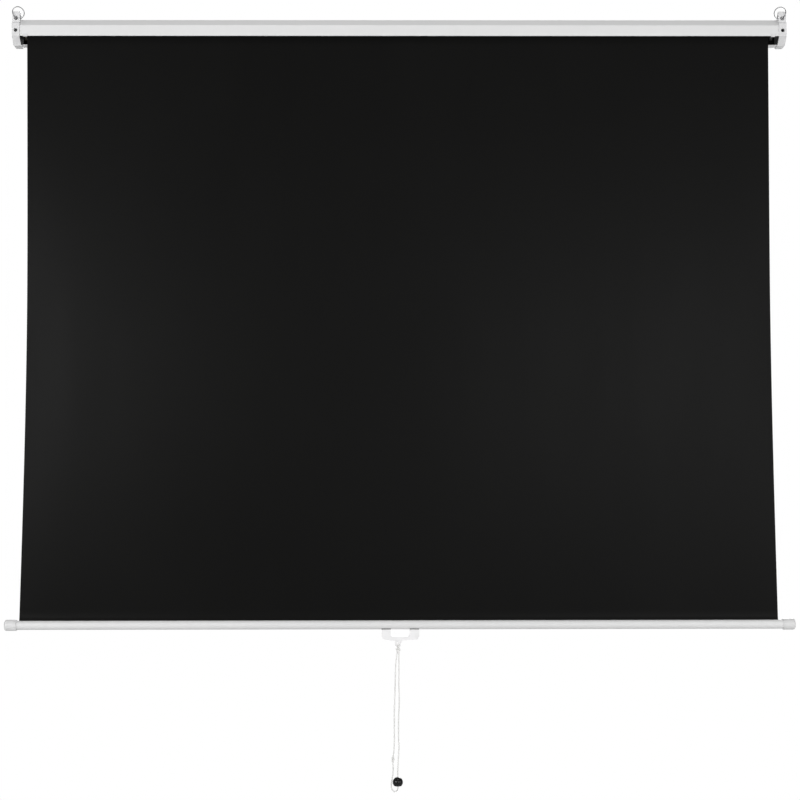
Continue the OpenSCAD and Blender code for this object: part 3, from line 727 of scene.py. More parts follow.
@dataclass
class Housing(SubAssembly):
    """The case with its folded hems, the end caps, and the brackets and screws inside them."""

    sheet: float = 1.0 * MM
    bend: float = 2.5 * MM
    hem: float = 5.0 * MM
    bend_steps: int = 10
    cap_rounding: float = 0.5 * MM
    bracket_rounding: float = 0.4 * MM
    screw_d: float = 3.5 * MM
    screw_tip: float = 0.6 * MM
    cross: float = 1.1 * MM

    def bends(self, reach: float, radius: float) -> Array:
        """Six arcs, one at each corner of an octagon from the wall over the top to the underside,
        whose middles lie one radius inside the two flats that meet there.

        Args:
            reach: Distance from the axis to the octagon's flats.
            radius: Radius of the arcs.

        Returns:
            Points as (y, z) from the axis.
        """
        corner = (reach - radius) / math.cos(math.radians(22.5))
        turns = np.radians(np.arange(157.5, -68, -45))
        middles = corner * np.stack([np.cos(turns), np.sin(turns)], 1)
        a = turns[:, None] + np.radians(np.linspace(22.5, -22.5, self.bend_steps + 1))
        return (middles[:, None] + radius * np.stack([np.cos(a), np.sin(a)], -1)).reshape(-1, 2)

    def section(self, flat: float) -> Array:
        """Outline of the case sheet about the roller axis: the bent octagon outside, the same one
        sheet thickness further in, and a folded hem at each edge of the slot.

        Args:
            flat: Distance from the axis to the case's flats.

        Returns:
            A closed outline as (y, z).
        """
        t, half = self.sheet, flat * math.tan(math.radians(22.5))
        return np.vstack(
            [
                [[-flat - t, self.hem - half]],
                arc((-flat, -half), t, 180, 360, 10),
                self.bends(flat - t, self.bend - t),
                [[self.hem - half, t - flat], [self.hem - half, 2 * t - flat]],
                arc((t - half, t - flat), t, 90, 270, 10),
                self.bends(flat, self.bend)[::-1],
                [[-flat, self.hem - half]],
            ]
        )

    def screw(self, head_x: float, tip_x: float, y: float, z: float) -> Shell:
        """A countersunk screw along X with a cross recess in its flat head.

        Args:
            head_x: Place of the head's face.
            tip_x: Place of the tip.
            y: Place across the case.
            z: Height.

        Returns:
            The screw's surface.
        """
        r, d, tip = self.screw_d, self.screw_d / 2, tip_x - head_x
        head = [[0, share * r] for share in (0.05, 0.3, 0.5, 0.62, 0.78, 0.92, 1.0)]
        shank = [[-d, d], [tip + self.screw_tip, d], [tip, d * 0.7]]
        return turned(np.array(head + shank), np.array([head_x, y, z]), "x", 64, sink=-self.cross)

    def shade_inside(self, case: bpy.types.Object, flat: float, axis: Array) -> None:
        """Gives the sheet's inner side a near-black finish of its own, painted shade for the dark inside of
        the case: the faces whose octagonal radius, which is the largest of |y|, |z| and |y + z| and |y - z|
        over the root of 2, ends short of the sheet's middle.

        Args:
            case: The case's object.
            flat: Distance from the axis to the case's flats.
            axis: The roller's axis.
        """
        mesh = case.data
        mesh.materials.append(self.shop.paint(self.shop.palette.painted_shade_lining))
        middles = np.zeros(3 * len(mesh.polygons), np.float32)
        mesh.polygons.foreach_get("center", middles)
        y, z = (middles.reshape(-1, 3) - axis)[:, 1:].T
        reach = np.max(np.abs([y, z, (y + z) / math.sqrt(2), (y - z) / math.sqrt(2)]), axis=0)
        mesh.polygons.foreach_set("material_index", (reach < flat - self.sheet / 2).astype(np.int32))
        mesh.update()

    def build(self) -> None:
        """Makes the case, both caps, their screws and the brackets."""
        shop, paints = self.shop, self.shop.palette
        case, axis = Box.of("case_profile"), Box.of("roller_tube").centre
        flat = case.high[2]
        walls = extruded(self.section(flat), case.low[0], case.high[0], axis[1:])
        node = "case_profile"
        dressed = shop.piece(node + "_dressed", walls, paints.case, Body.HOUSING, node, sharp=40)
        # Painted shade: the inner faces get the near-black coat for the dark inside of the case.
        self.shade_inside(dressed, flat, axis)
        for side in ("left", "right"):
            shop.softened(f"end_cap_{side}", paints.caps, Body.HOUSING, self.cap_rounding)
        for side in Side:
            node = f"cap_screws_{side.name.lower()}"
            box = Box.of(node)
            tip, head = np.sort(np.abs([box.low[0], box.high[0]]))
            step = (box.size[2] / 2) - self.screw_d
            pair = self.screw(head, tip, axis[1], step) + self.screw(head, tip, axis[1], -step)
            shop.piece(node + "_dressed", pair.at(side), paints.zinc, Body.HOUSING, node)
        for node in ("spear_bracket", "idle_bearing"):
            shop.softened(node, paints.zinc, Body.HOUSING, self.bracket_rounding)


@dataclass
class RollerSet(SubAssembly):
    """The roller tube, its plugs, pins and rivets, and the turns of fabric that stay on it."""

    cloth: float = 0.5 * MM
    slack: float = 0.05 * MM
    leaves_at: float = 1.5
    turn_steps: int = 110
    tube_rounding: float = 0.15 * MM
    plug_rounding: float = 0.3 * MM
    pin_rounding: float = 0.25 * MM
    rivet_r: float = 1.6 * MM
    rivet_length: float = 4.5 * MM
    dome: float = 0.45 * MM

    def wound(self, inner: float, outer: float, half: float, axis: Array) -> tuple[Shell, float]:
        """Cloth wound in a spiral: its middle lies at radius outer - t a / 2 pi, a being the angle
        from the wall side up and over the top, and its two skins almost half a thickness to each side.

        Args:
            inner: Radius of the middle of the innermost turn.
            outer: Radius of the middle where the cloth leaves the roll.
            half: Half the cloth's width.
            axis: The roller's axis.

        Returns:
            The spiral, and the length of cloth in it.
        """
        turns = (outer - inner) / self.cloth
        a = np.radians(np.linspace(self.leaves_at, 360 * turns, round(self.turn_steps * turns)))
        middle = outer - self.cloth * a / (2 * math.pi)
        thin = self.cloth * 0.47
        radii = np.concatenate([middle + thin, (middle - thin)[::-1]])
        angles = np.concatenate([a, a[::-1]])
        outline = np.stack([-radii * np.cos(angles), radii * np.sin(angles)], 1)
        return extruded(outline, -half, half, axis[1:]), float(np.mean(middle) * (a[-1] - a[0]))

    def rivet(self, place: Array, turn: float, radius: float) -> Shell:
        """A rivet through the tube: a profile turned about Z, a shank with a low dome outside, and
        the whole turned about the roller's axis.

        Args:
            place: The point on the roller's axis that it points to.
            turn: Angle around the axis, in degrees.
            radius: Distance from the axis to the head's top.

        Returns:
            The rivet's surface.
        """
        r = self.rivet_r
        top = [[radius - self.dome * (1 - math.cos(a)), r * math.sin(a)] for a in (0, 0.45, 0.9, 1.35)]
        low = radius - self.rivet_length
        shell = turned(np.array(top + [[radius - 0.5 * MM, r], [low, r], [low, 1e-5]]), np.zeros(3), "z", 24)
        c, s = math.cos(math.radians(turn)), math.sin(math.radians(turn))
        shell.points = shell.points @ np.array([[1, 0, 0], [0, c, s], [0, -s, c]]) + place
        return shell

    def build(self) -> None:
        """Makes the roll, the tube, the plugs, the pins and the rivets."""
        shop, paints = self.shop, self.shop.palette
        tube_box, roll, plug = (Box.of(n) for n in ("roller_tube", "fabric_roll", "idle_end_plug"))
        axis = tube_box.centre
        leaves = axis[1] - Box.of("screen_fabric").low[1] - self.cloth / 2
        inner = tube_box.size[2] / 2 + self.slack + self.cloth / 2
        spiral, length = self.wound(inner, leaves, roll.high[0], axis)
        turns = shop.piece("wound_fabric", spiral, paints.back, Body.ROLLER, "fabric_roll", sharp=30)
        shop.softened("roller_tube", paints.roller, Body.ROLLER, self.tube_rounding, 1)
        for node in ("spring_end_plug", "idle_end_plug", "spring_anchor_plug"):
            shop.softened(node, paints.plugs, Body.ROLLER, self.plug_rounding)
        for node in ("idle_pin", "pawl_pins"):
            shop.softened(node, paints.bare, Body.ROLLER, self.pin_rounding)
        plug_x, anchor_x = (tube_box.high[0] + plug.low[0]) / 2, Box.of("spring_anchor_plug").centre[0]
        shells = [
            self.rivet(np.array([x, *axis[1:]]), turn, Box.of("plug_rivets").high[2])
            for x in (plug_x, -plug_x, anchor_x)
            for turn in (30, 150, 270)
        ]
        rivets = sum(shells[1:], shells[0])
        shop.piece("plug_rivets_dressed", rivets, paints.zinc, Body.ROLLER, "plug_rivets")


@dataclass
class Lock(SubAssembly):
    """The standing spear with its ratchet wheel, and the two pawls that fall into it."""

    spear_rounding: float = 0.3 * MM
    rounding: float = 0.2 * MM

    def build(self) -> None:
        """Makes the spear, the wheel and the pawls."""
        paints, wheel = self.shop.palette, ("ratchet_wheel", Body.HOUSING)
        self.shop.softened("lock_spear", paints.bare, Body.HOUSING, self.spear_rounding)
        for node, body in (wheel, ("pawl_a", Body.UPPER_PAWL), ("pawl_b", Body.LOWER_PAWL)):
            self.shop.softened(node, paints.passivated, body, self.rounding)


@dataclass
class Spring(SubAssembly):
    """The mandrel and the torsion spring that winds the screen up."""

    wire: float = 2.5 * MM
    coil_d: float = 20 * MM
    curls: int = 88
    mandrel_rounding: float = 0.5 * MM

    def helix(self, box: Box, axis: Array) -> Shell:
        """A wire wound about the axis: its middle goes round once per curl while it moves evenly
        along X, and its rings lie square to it.

        Args:
            box: The CAD spring's box.
            axis: The roller's axis.

        Returns:
            The wire's surface.
        """
        steps = 20 * self.curls
        a = np.linspace(0, 2 * math.pi * self.curls, steps + 1)[:, None]
        x = np.linspace(box.low[0] + self.wire / 2, box.high[0] - self.wire / 2, steps + 1)[:, None]
        out = np.hstack([0 * a, np.cos(a), np.sin(a)])
        path = np.hstack([x, 0 * a, 0 * a]) + [0, axis[1], axis[2]] + out * self.coil_d / 2
        along = unit(np.gradient(path, axis=0))
        return sleeve(path, out, np.cross(along, out), self.wire / 2, 10)

    def build(self) -> None:
        """Makes the mandrel and the spring."""
        paints, node = self.shop.palette, "torsion_spring"
        self.shop.softened("spring_mandrel", paints.bare, Body.HOUSING, self.mandrel_rounding)
        wire = self.helix(Box.of(node), Box.of("roller_tube").centre)
        self.shop.piece(node + "_wound", wire, paints.spring, Body.HOUSING, node, sharp=60)


@dataclass
class ScreenSheet(SubAssembly):
    """The screen fabric as it hangs: black at the wall side, white with a black border in front.
    Each slow wave has its share of the height, its radians per metre across, its radians over the
    drop, and its start."""

    cloth: float = 0.5 * MM
    draw_left: float = 7.9 * MM
    draw_right: float = 4.9 * MM
    left_top: float = 2.5 * MM
    left_low: float = 5.2 * MM
    right_top: float = 6.0 * MM
    right_low: float = 1.0 * MM
    curl: float = 7 * MM
    curl_share: float = 0.14
    curl_from: float = 0.10
    curl_full: float = 0.54
    wave_height: float = 0.7 * MM
    waves: tuple[tuple[float, ...], ...] = ((1, 5.1, 1.3, 0.6), (0.6, 9.3, -3.0, 0), (0.5, 3.2, 6.5, 0))
    hem: float = 9 * MM
    hem_step: float = 0.001
    hem_rows: int = 9
    columns: int = 121
    rows: int = 111
    crowding: float = 0.86

    def surface(self, box: Box) -> tuple[Shell, Array]:
        """The sheet as a function of a place across, s from -1 to 1, and down, w from 0 to 1.
        It hangs a little to the left, by amounts that run evenly between its four corners. Its
        edges are drawn in by a share of sin(pi w), and curl forward with the square of how far
        s lies in the edge zone. The curl and the slow waves fade out towards the roll, so that
        the drawn-up sheet clears it. The hem stands half a thickness proud, and the two skins
        are joined round the rim. Columns follow a sine, closer together at the edges.

        Args:
            box: The CAD sheet's box.

        Returns:
            The closed sheet, and each point's place on the cloth in metres.
        """
        half, drop = box.high[0], box.size[2]
        crowd = math.pi / 2 * self.crowding
        hem_at = 1 - self.hem / drop
        above = np.linspace(0, hem_at - self.hem_step, self.rows - self.hem_rows)
        w = np.concatenate([above, np.linspace(hem_at, 1, self.hem_rows)])
        s = np.sin(np.linspace(-1, 1, self.columns) * crowd) / math.sin(crowd)
        ww, ss = np.meshgrid(w, s, indexing="ij")
        swell = np.clip(np.sin(math.pi * ww), 0, 1)
        rise = np.clip((ww - self.curl_from) / (self.curl_full - self.curl_from), 0, 1)
        bend = swell * rise**2 * (3 - 2 * rise)
        edge = np.clip(np.abs(ss) - 1 + self.curl_share, 0, None) / self.curl_share
        drawn = np.where(ss < 0, self.draw_left, self.draw_right)
        left = self.left_top + (self.left_low - self.left_top) * ww
        right = self.right_top + (self.right_low - self.right_top) * ww
        x = ss * (half - drawn * swell * np.abs(ss) ** 3) - left - (right - left) * (ss + 1) / 2
        waves = sum(
            share * np.sin(across * x + down * ww + start) for share, across, down, start in self.waves
        )
        rest_y = box.low[1] + self.cloth / 2
        y = rest_y + self.curl * bend * edge**2 + self.wave_height * waves * bend
        z = box.high[2] - ww * drop
        thick = self.cloth / 2 * (1 + (ww > hem_at - self.hem_step / 2))
        skins = [np.stack([x, y + out, z], -1).reshape(-1, 3) for out in (-thick, self.cloth / 2)]
        grid, count = net(*ww.shape), ww.size
        index = np.arange(count).reshape(ww.shape)
        rim = np.concatenate([index[0, :-1], index[:-1, -1], index[-1, :0:-1], index[:0:-1, 0]])
        after = np.roll(rim, -1)
        wall = np.stack([rim, rim + count, after + count, after], 1)
        places = np.stack([(ss + 1) * half, ww * drop], -1).reshape(-1, 2)
        quads = np.vstack([grid, grid[:, ::-1] + count, wall])
        return Shell(np.vstack(skins), quads), np.vstack([places, places])

    def build(self) -> None:
        """Makes the sheet and its two finishes."""
        shop, box = self.shop, Box.of("screen_fabric")
        width, drop = float(box.size[0]), float(box.size[2])
        shell, places = self.surface(box)
        sheet = shop.piece(
            "screen_sheet", shell, shop.palette.back, Body.HOUSING, "screen_fabric", sharp=50, closed=False
        )
        mesh = sheet.data
        mesh.materials.append(shop.paint(replace(shop.palette.face, width=width, height=drop)))
        corners = np.zeros(len(mesh.loops), np.int32)
        mesh.loops.foreach_get("vertex_index", corners)
        uv = mesh.uv_layers.new(name="cloth")
        uv.data.foreach_set("uv", places[corners].astype(np.float32).ravel())
        cells = (self.rows - 1) * (self.columns - 1)
        slots = np.zeros(len(mesh.polygons), np.int32)
        slots[cells : 2 * cells] = 1
        mesh.polygons.foreach_set("material_index", slots)
        mesh.update()
        travel = next(j["range_m"][1] for j in frame["joints"] if j["name"] == "screen_pull")
        1 - travel / drop
        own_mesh(sheet)


@dataclass
class Slat(SubAssembly):
    """The weighted tube along the bottom, with its caps, rod, handle and screws."""

    sheet: float = 1.2 * MM
    slit: float = 3 * MM
    cup: float = 12 * MM
    cup_round: float = 5 * MM
    cup_lip: float = 0.8 * MM
    rod_bevel: float = 0.8 * MM
    handle_rounding: float = 1.6 * MM
    pad: float = 1.1 * MM
    pad_depth: float = 15 * MM
    pad_length: float = 24.5 * MM
    cross: float = 1.0 * MM
    centre_r: float = 0.01 * MM

    def tube_section(self, outer: float) -> Array:
        """Outline of the slit tube about its axis, a bent strip from one lip round to the other.

        Args:
            outer: The tube's outer radius.

        Returns:
            A closed outline as (y, z), without its first point, so that one lip has a small flat.
        """
        middle, half = outer - self.sheet / 2, self.sheet / 2
        lip = math.degrees(math.asin((self.slit / 2 + half) / middle))
        return strip(middle, half, 90 + lip, 450 - lip, 96)[1:]

    def cap(self, box: Box, tube_r: float) -> Shell:
        """A cup for the tube's end, turned about the slat's axis: round outer corner, a slightly
        domed end, a shallow step behind the mouth and a rounded mouth.

        Args:
            box: The right cap's box.
            tube_r: The slat tube's radius.

        Returns:
            The cap's surface.
        """
        length, outer = box.size[0], box.size[2] / 2
        inner, seat, r, lip = tube_r + 0.15 * MM, length - self.cup, self.cup_round, self.cup_lip
        hollow = [[seat, self.centre_r], [seat, inner], [0.5 * MM, inner], [0, inner + 0.5 * MM]]
        mouth = arc((lip, outer - lip), lip, 180, 90, 5)
        low = outer - 0.25 * MM
        step = [[2.6 * MM, outer], [2.8 * MM, low], [3.4 * MM, low], [3.6 * MM, outer]]
        corner = arc((length - r - 0.3 * MM, outer - r), r, 90, 4, 14)
        dome = [[length - 0.1 * MM, r], [length, 1.2 * MM], [length, self.centre_r]]
        start = np.array([box.low[0], box.centre[1], box.centre[2]])
        return turned(np.vstack([hollow, mouth, step, corner, dome]), start, "x", 96)

    def screws(self, box: Box) -> Shell:
        """The two pan-head screws up through the handle's feet, each with a cross recess below.

        Args:
            box: The box round both CAD screws.

        Returns:
            Both screws.
        """
        r, tall, head = box.size[1] / 2, box.size[2], 2.4 * MM
        pan = [[0, share * r] for share in (0.05, 0.3, 0.5, 0.62, 0.8)]
        rest = [[0.35 * MM, 0.96 * r], [0.9 * MM, r], [head, r], [head, r / 2], [tall, r / 2]]
        x = box.high[0] - r
        places = [np.array([k * x, box.centre[1], box.low[2]]) for k in (-1, 1)]
        left, right = (turned(np.array(pan + rest), place, "z", 64, sink=self.cross) for place in places)
        return left + right

    def shadow_pads(self, axis: Array, tube_r: float, foot_x: float) -> Shell:
        """The thin black strips between the handle's feet and the tube, painted shadow for the contact shade
        there, bent about the slat's axis and carried along X over each foot.

        Args:
            axis: The slat's middle.
            tube_r: The slat tube's radius.
            foot_x: Distance of a foot from the middle.

        Returns:
            Both strips.
        """
        half, reach = self.pad / 2, self.pad_length / 2
        middle = tube_r + 0.05 * MM + half
        spread = math.degrees(math.asin(self.pad_depth / 2 / middle))
        outline = strip(middle, half, 270 - spread, 270 + spread, 24)
        left, right = (extruded(outline, k * foot_x - reach, k * foot_x + reach, axis[1:]) for k in (-1, 1))
        return left + right

    def build(self) -> None:
        """Makes the tube, its caps, the rod, the handle, the black strips of painted shadow under its feet,
        and its screws.
        """
        shop, paints = self.shop, self.shop.palette
        box, rod, screw_box = (Box.of(n) for n in ("slat_tube", "hem_rod", "handle_screws"))
        tube_r = box.size[2] / 2
        walls = extruded(self.tube_section(tube_r), box.low[0], box.high[0], box.centre[1:])
        shop.piece("slat_tube_dressed", walls, paints.slat, Body.SLAT, "slat_tube", sharp=40)
        cap = self.cap(Box.of("slat_cap_right"), tube_r)
        for side in Side:
            node = f"slat_cap_{side.name.lower()}"
            shop.piece(node + "_dressed", cap.at(side), paints.slat_caps, Body.SLAT, node)
        r, half, bevel = rod.size[2] / 2, rod.size[0] / 2, self.rod_bevel
        end = np.array([[half - bevel, r], [half, r - bevel], [half, self.centre_r]])
        bar = turned(np.vstack([end[::-1] * [-1, 1], end]), rod.centre, "x", 40)
        shop.piece("hem_rod_dressed", bar, paints.zinc, Body.SLAT, "hem_rod")
        shop.softened("pull_handle", paints.handle, Body.SLAT, self.handle_rounding, 4)
        strips = self.shadow_pads(box.centre, tube_r, screw_box.high[0] - screw_box.size[1] / 2)
        # Painted shadow: black strips put where the tube shades the tops of the handle's feet.
        shop.piece("handle_shadow_pads", strips, paints.shadow_pads, Body.SLAT)
        shop.piece("handle_screws_dressed", self.screws(screw_box), paints.zinc, Body.SLAT, "handle_screws")


@dataclass
class PullCord(SubAssembly):
    """The cord below the handle: the hitch, one run through the ball and back up, and its knot."""

    radius: float = 1.6 * MM
    eyelet_x: float = -6 * MM
    wrap_z: float = -65 * MM
    wrap_length: float = 13 * MM
    wrap_core: float = 2.0 * MM
    wrap_turns: int = 4
    knot: Triple = (-20 * MM, 0.0, -352 * MM)
    knot_radius: float = 1.5 * MM
    knot_steps: int = 150
    ball_flat: float = 9.6 * MM
    ball_edge: float = 1.0 * MM
    bore: float = 2.3 * MM
    bore_lip: float = 0.5 * MM
    parting: float = 0.12 * MM
    parting_width: float = 0.25 * MM

    def routes(self) -> tuple[Array, Array]:
        """The two runs' points about the slat's axis.

        Returns:
            The left run down to the knot, and the right one down, round below the ball and up to it.
        """
        left = [
            [-8, 0, -69], [-10, 0, -84], [-12, 0, -102], [-13, 0, -130], [-14, 0, -160], [-15, 0, -192],
            [-16, 0, -225], [-16, 0, -260], [-16, 0, -295], [-17, 0, -325], [-19, 0, -344],
        ]
        right = [
            [-4, 0, -69], [-4, 0, -100], [-4, 0, -130], [-4, 0, -160], [-3, 0, -200], [-5, 0, -250],
            [-5, 0, -290], [-4, 0, -325], [-6, 0, -355], [-7, 0, -380], [-7, 0, -410], [-7, 0, -427],
            [-12, 0, -435], [-19, 0, -434], [-24, 0, -424], [-23, 0, -408], [-20, 0, -390],
            [-19, 0, -374], [-20, 0, -360],
        ]
        return np.array(left) * MM, np.array(right) * MM

    def hitch(self, centre: Array) -> Shell:
        """The doubled cord through the eyelet, and the wrap below it as a helix along X.

        Args:
            centre: The slat's axis at the middle.

        Returns:
            The hitch's surface.
        """
        rise = [[0.6, -2.4, -63.5], [1.9, -4.9, -58.5], [1.95, -4.75, -53.8], [1.8, -3.6, -51.6]]
        fall = np.array(rise[::-1]) * [1, -1, 1]
        shape = np.vstack([rise, [[1.75, 0, -51.0]], fall]) * MM
        start = centre + [self.eyelet_x, 0, 0]
        lines = [smooth_line(shape * [k, 1, 1], 0.6 * MM) + start for k in (-1, 1)]
        left, right = (braided(line, np.array([1.0, 0, 0]), self.radius) for line in lines)
        a = np.linspace(0, 2 * math.pi * self.wrap_turns, 40 * self.wrap_turns)[:, None]
        reach = self.wrap_length / 2 - self.radius
        x = np.linspace(-reach, reach, len(a))[:, None]
        turns = np.hstack([x, self.wrap_core * np.cos(a), self.wrap_core * np.sin(a)])
        path = turns + start + [0, 0, self.wrap_z]
        return left + right + braided(path, np.hstack([0 * a + 1, 0 * a, 0 * a]), self.radius)

    def overhand(self, centre: Array) -> Shell:
        """The overhand knot as a drawn-out trefoil: (R + r cos 3a) (cos 2a, sin 2a) in plan, h sin 3a in
        height, wrapped in the cord's braid.

        Args:
            centre: The knot's middle.

        Returns:
            The knot's surface.
        """
        a = circle(self.knot_steps)[:, None]
        out = np.hstack([np.cos(2 * a), np.sin(2 * a), 0 * a])
        reach, height = 1.75 + 0.85 * np.cos(3 * a), 4.6 * np.sin(3 * a)
        path = (reach * out + np.hstack([0 * a, 0 * a, height])) * MM
        return braided(np.vstack([path, path[:1]]) + centre, np.vstack([out, out[:1]]), self.knot_radius)

    def ball(self, box: Box) -> Shell:
        """The ball, turned about Z: a sphere with a fine parting line round its widest place, a bore
        with eased ends, and a flat underside that meets the sphere in a small round.

        Args:
            box: The CAD ball's box.

        Returns:
            The ball's surface.
        """
        r, edge, lip, flat = box.size[0] / 2, self.ball_edge, self.bore_lip, self.ball_flat
        mouth = self.bore + lip
        corner = (edge - flat, math.sqrt((r - edge) ** 2 - (flat - edge) ** 2))
        turn = math.atan2(corner[1], corner[0])
        a = np.linspace(math.asin(mouth / r), turn, 72)
        line = self.parting * np.exp(-(((a - math.pi / 2) * r / self.parting_width) ** 2))
        outside = np.stack([r * np.cos(a), r * np.sin(a) - line], 1)
        under = arc(corner, edge, math.degrees(turn), 180, 8)[1:]
        inside = [[-flat, mouth], [lip - flat, self.bore], [r * math.cos(a[0]) - lip, self.bore]]
        middle = np.array([box.centre[0], box.centre[1], box.high[2] - r])
        return turned(np.vstack([outside, under, inside]), middle, "z", 96, closed=True)

    def build(self) -> None:
        shop, yarn = self.shop, self.shop.palette.yarn
        centre = Box.of("slat_tube").centre * [0, 1, 1]
        hitch = shop.piece("cord_hitch_tied", self.hitch(centre), yarn, Body.SLAT, "cord_hitch", sharp=80)
        tied = self.overhand(centre + np.array(self.knot))
        knot = shop.piece("cord_knot_tied", tied, yarn, Body.CORD, "cord_knot", sharp=80)
        left, right = self.routes()
        path = smooth_line(np.vstack([right, [self.knot], left[::-1]]) + centre, 0.8 * MM)
        run = braided(path, np.array([0, 1.0, 0]), self.radius)
        strands = ("cord_strand_left", "cord_strand_right")
        cord = shop.piece("pull_cord_braid", run, yarn, Body.CORD, *strands, sharp=80)
        turned_ball = self.ball(Box.of("pull_ball"))
        ball = shop.piece("pull_ball_turned", turned_ball, shop.palette.ball, Body.CORD, "pull_ball")


@dataclass
class Rings(SubAssembly):
    """The two wire rings that stand in the ears."""

    turn: float = 30.0
    wire: float = 2.2 * MM
    seam_at: float = 2.2
    seam_width: float = 0.35 * MM
    seam_dip: float = 0.4
    steps: int = 260
    sides: int = 20

    def ring(self, box: Box, side: Side) -> Shell:
        """A torus: centre + (R + r cos b) (cos a u + sin a z) + r sin b n, where u lies in the ring's
        plane and n is square to it. The wire's radius dips where its two ends meet.

        Args:
            box: The CAD ring's box.
            side: The end that it hangs at.

        Returns:
            The ring's surface.
        """
        reach = (box.size[2] - self.wire) / 2
        turn = math.radians(self.turn)
        u = np.array([side.value * math.cos(turn), -math.sin(turn), 0])
        n = np.array([side.value * math.sin(turn), math.cos(turn), 0])
        a, b = circle(self.steps)[:, None, None], circle(self.sides)[None, :, None]
        seam = np.exp(-(((a - self.seam_at) * reach / self.seam_width) ** 2))
        r = self.wire / 2 * (1 - self.seam_dip * seam)
        spoke = np.cos(a) * u + np.sin(a) * np.array([0, 0, 1.0])
        points = (reach + r * np.cos(b)) * spoke + r * np.sin(b) * n
        return Shell((points + box.centre).reshape(-1, 3), net(self.steps, self.sides, True, True))

    def build(self) -> None:
        """Makes both rings."""
        for side, body in ((Side.LEFT, Body.LEFT_RING), (Side.RIGHT, Body.RIGHT_RING)):
            node = f"ring_{side.name.lower()}"
            ring = self.ring(Box.of(node), side)
            self.shop.piece(node + "_wire", ring, self.shop.palette.nickel, body, node, sharp=60)


@dataclass(frozen=True)
class Softbox:
    """An area light: its name, where it stands, the point that it faces, its width and height in
    metres, and its power in watts."""

    name: str
    place: Triple
    aim: Triple
    size: tuple[float, float]
    power: float

    def light(self) -> None:
        """Adds the light to the scene, turned to its aim."""
        data = bpy.data.lights.new(self.name, "AREA")
        data.shape = "RECTANGLE"
        data.size, data.size_y = self.size
        data.energy = self.power
        lamp = bpy.data.objects.new(self.name, data)
        turn = (Vector(self.aim) - Vector(self.place)).to_track_quat("-Z", "Y")
        lamp.matrix_world = Matrix.Translation(self.place) @ turn.to_matrix().to_4x4()
        bpy.context.scene.collection.objects.link(lamp)


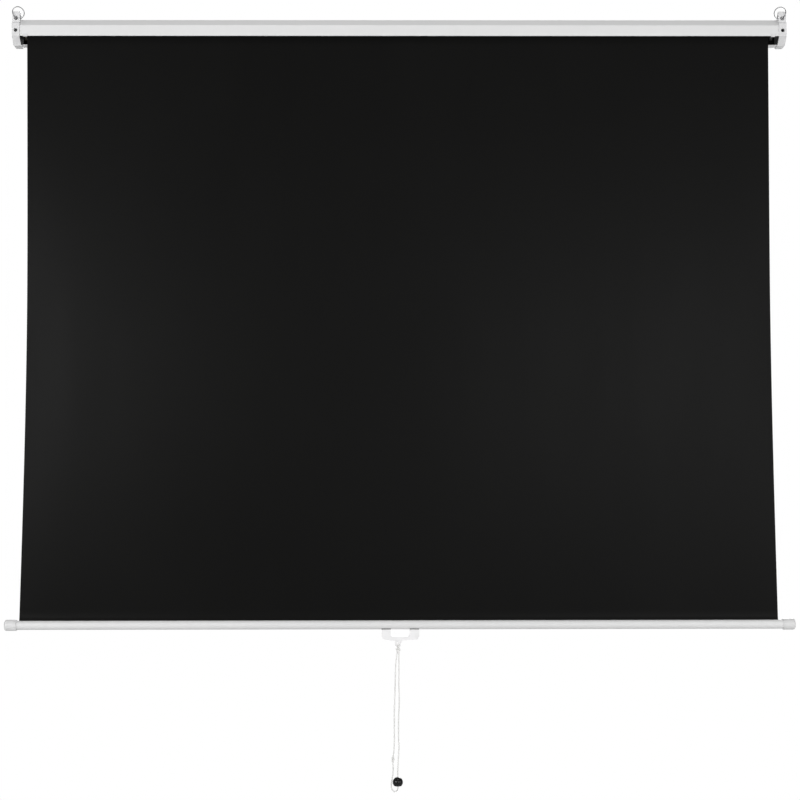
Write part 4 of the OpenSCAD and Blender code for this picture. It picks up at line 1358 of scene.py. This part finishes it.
@dataclass
class Studio:
    """Camera, light, floor and background. The camera has its place, three angles in degrees and
    its focal length in pixels of the frame."""

    place: Triple = (-0.0226, -4.1, -1.2097)
    yaw: float = -0.312
    pitch: float = 3.008
    roll: float = -0.062
    focus_px: float = 1549.1
    frame_px: float = 800.0
    sensor_mm: float = 36
    sky: float = 0.26
    floor_z: float = -2.42
    floor_radius: float = 12
    floor_sides: int = 64
    floor_grey: float = 0.62
    floor_roughness: float = 0.9
    lights: tuple[Softbox, ...] = (
        Softbox("left_key", (-2.35, -4.4, -0.5), (0, 0, -0.7), (0.8, 0.8), 42),
        Softbox("right_key", (1.75, -4.9, -0.6), (0, 0, -0.7), (2.6, 1.0), 52),
        Softbox("top", (0, -2.6, 3.2), (0, 0, -0.8), (2.6, 0.8), 36),
        Softbox("left_fill", (-3.4, -2.4, -0.95), (-0.8, 0.02, -0.8), (0.9, 1.4), 38),
        Softbox("right_fill", (3.4, -2.4, -0.95), (0.8, 0.02, -0.8), (0.9, 1.4), 30),
        Softbox("front_fill", (0.8, 4.6, 0.4), (0, 0.02, -0.8), (3.0, 2.4), 185),
    )

    def camera(self) -> None:
        """Sets up the camera."""
        yaw, pitch, roll = (math.radians(a) for a in (self.yaw, self.pitch, self.roll))
        level = Matrix.Rotation(math.radians(90), 4, "X")
        turn = Matrix.Rotation(yaw, 4, "Z") @ Matrix.Rotation(pitch, 4, "X") @ Matrix.Rotation(-roll, 4, "Y")
        data = bpy.data.cameras.new("camera")
        data.sensor_width = self.sensor_mm
        data.lens = self.focus_px / self.frame_px * data.sensor_width
        data.clip_start, data.clip_end = 0.05, 100
        eye = bpy.data.objects.new("camera", data)
        eye.matrix_world = Matrix.Translation(self.place) @ turn @ level
        bpy.context.scene.collection.objects.link(eye)
        bpy.context.scene.camera = eye

    @staticmethod
    def show(tree: bpy.types.NodeTree, lit: Socket, seen: Socket, surface: Socket) -> None:
        """Shows the camera one shader, and everything that light reaches another.

        Args:
            tree: The node tree.
            lit: The shader that light meets.
            seen: The shader that the camera sees.
            surface: The input that the two end in.
        """
        path, mix = (tree.nodes.new("ShaderNode" + kind) for kind in ("LightPath", "MixShader"))
        tree.links.new(path.outputs["Is Camera Ray"], mix.inputs["Fac"])
        tree.links.new(lit, mix.inputs[1])
        tree.links.new(seen, mix.inputs[2])
        tree.links.new(mix.outputs["Shader"], surface)

    def background(self) -> None:
        """Makes the background, white to the camera and a dim grey to everything else."""
        world = bpy.data.worlds.new("studio")
        world.use_nodes = True
        nodes = world.node_tree.nodes
        lit, seen = nodes["Background"], nodes.new("ShaderNodeBackground")
        lit.inputs["Color"].default_value = (self.sky, self.sky, self.sky, 1)
        seen.inputs["Color"].default_value = (1, 1, 1, 1)
        shaders = (lit.outputs["Background"], seen.outputs["Background"])
        self.show(world.node_tree, *shaders, nodes["World Output"].inputs["Surface"])
        bpy.context.scene.world = world

    def floor(self) -> None:
        """Makes the pale floor, a disc that the camera sees as white as the background."""
        a, r = circle(self.floor_sides), self.floor_radius
        ring = np.stack([r * np.cos(a), r * np.sin(a), 0 * a + self.floor_z], 1)
        mesh = bpy.data.meshes.new("floor")
        mesh.from_pydata(ring.tolist(), [], [list(range(len(a)))])
        recipe = Recipe("floor_paint")
        recipe.plain(Base_Color=(*[self.floor_grey] * 3, 1), Roughness=self.floor_roughness)
        glow = recipe.node("Emission", {})["Emission"]
        surface = recipe.tree.nodes["Material Output"].inputs["Surface"]
        self.show(recipe.tree, recipe.shader.outputs["BSDF"], glow, surface)
        mesh.materials.append(recipe.material)
        floor = bpy.data.objects.new("floor", mesh)
        bpy.context.scene.collection.objects.link(floor)

    def build(self) -> None:
        """Makes the whole studio."""
        self.camera()
        bpy.context.scene.view_settings.view_transform = "Standard"
        for softbox in self.lights:
            softbox.light()
        self.background()
        self.floor()


def main() -> None:
    """Builds the studio and every sub-assembly in order."""
    logging.basicConfig(level=logging.INFO, format="%(message)s")
    Studio().build()
    shop = Workshop()
    for kind in (PullCord, ScreenSheet, Slat, Housing, Rings, RollerSet, Lock, Spring):
        LOG.info("building %s", kind.__name__)
        kind(shop).build()
    LOG.info("%d pieces", shop.count)


if __name__ == "__main__":
    main()
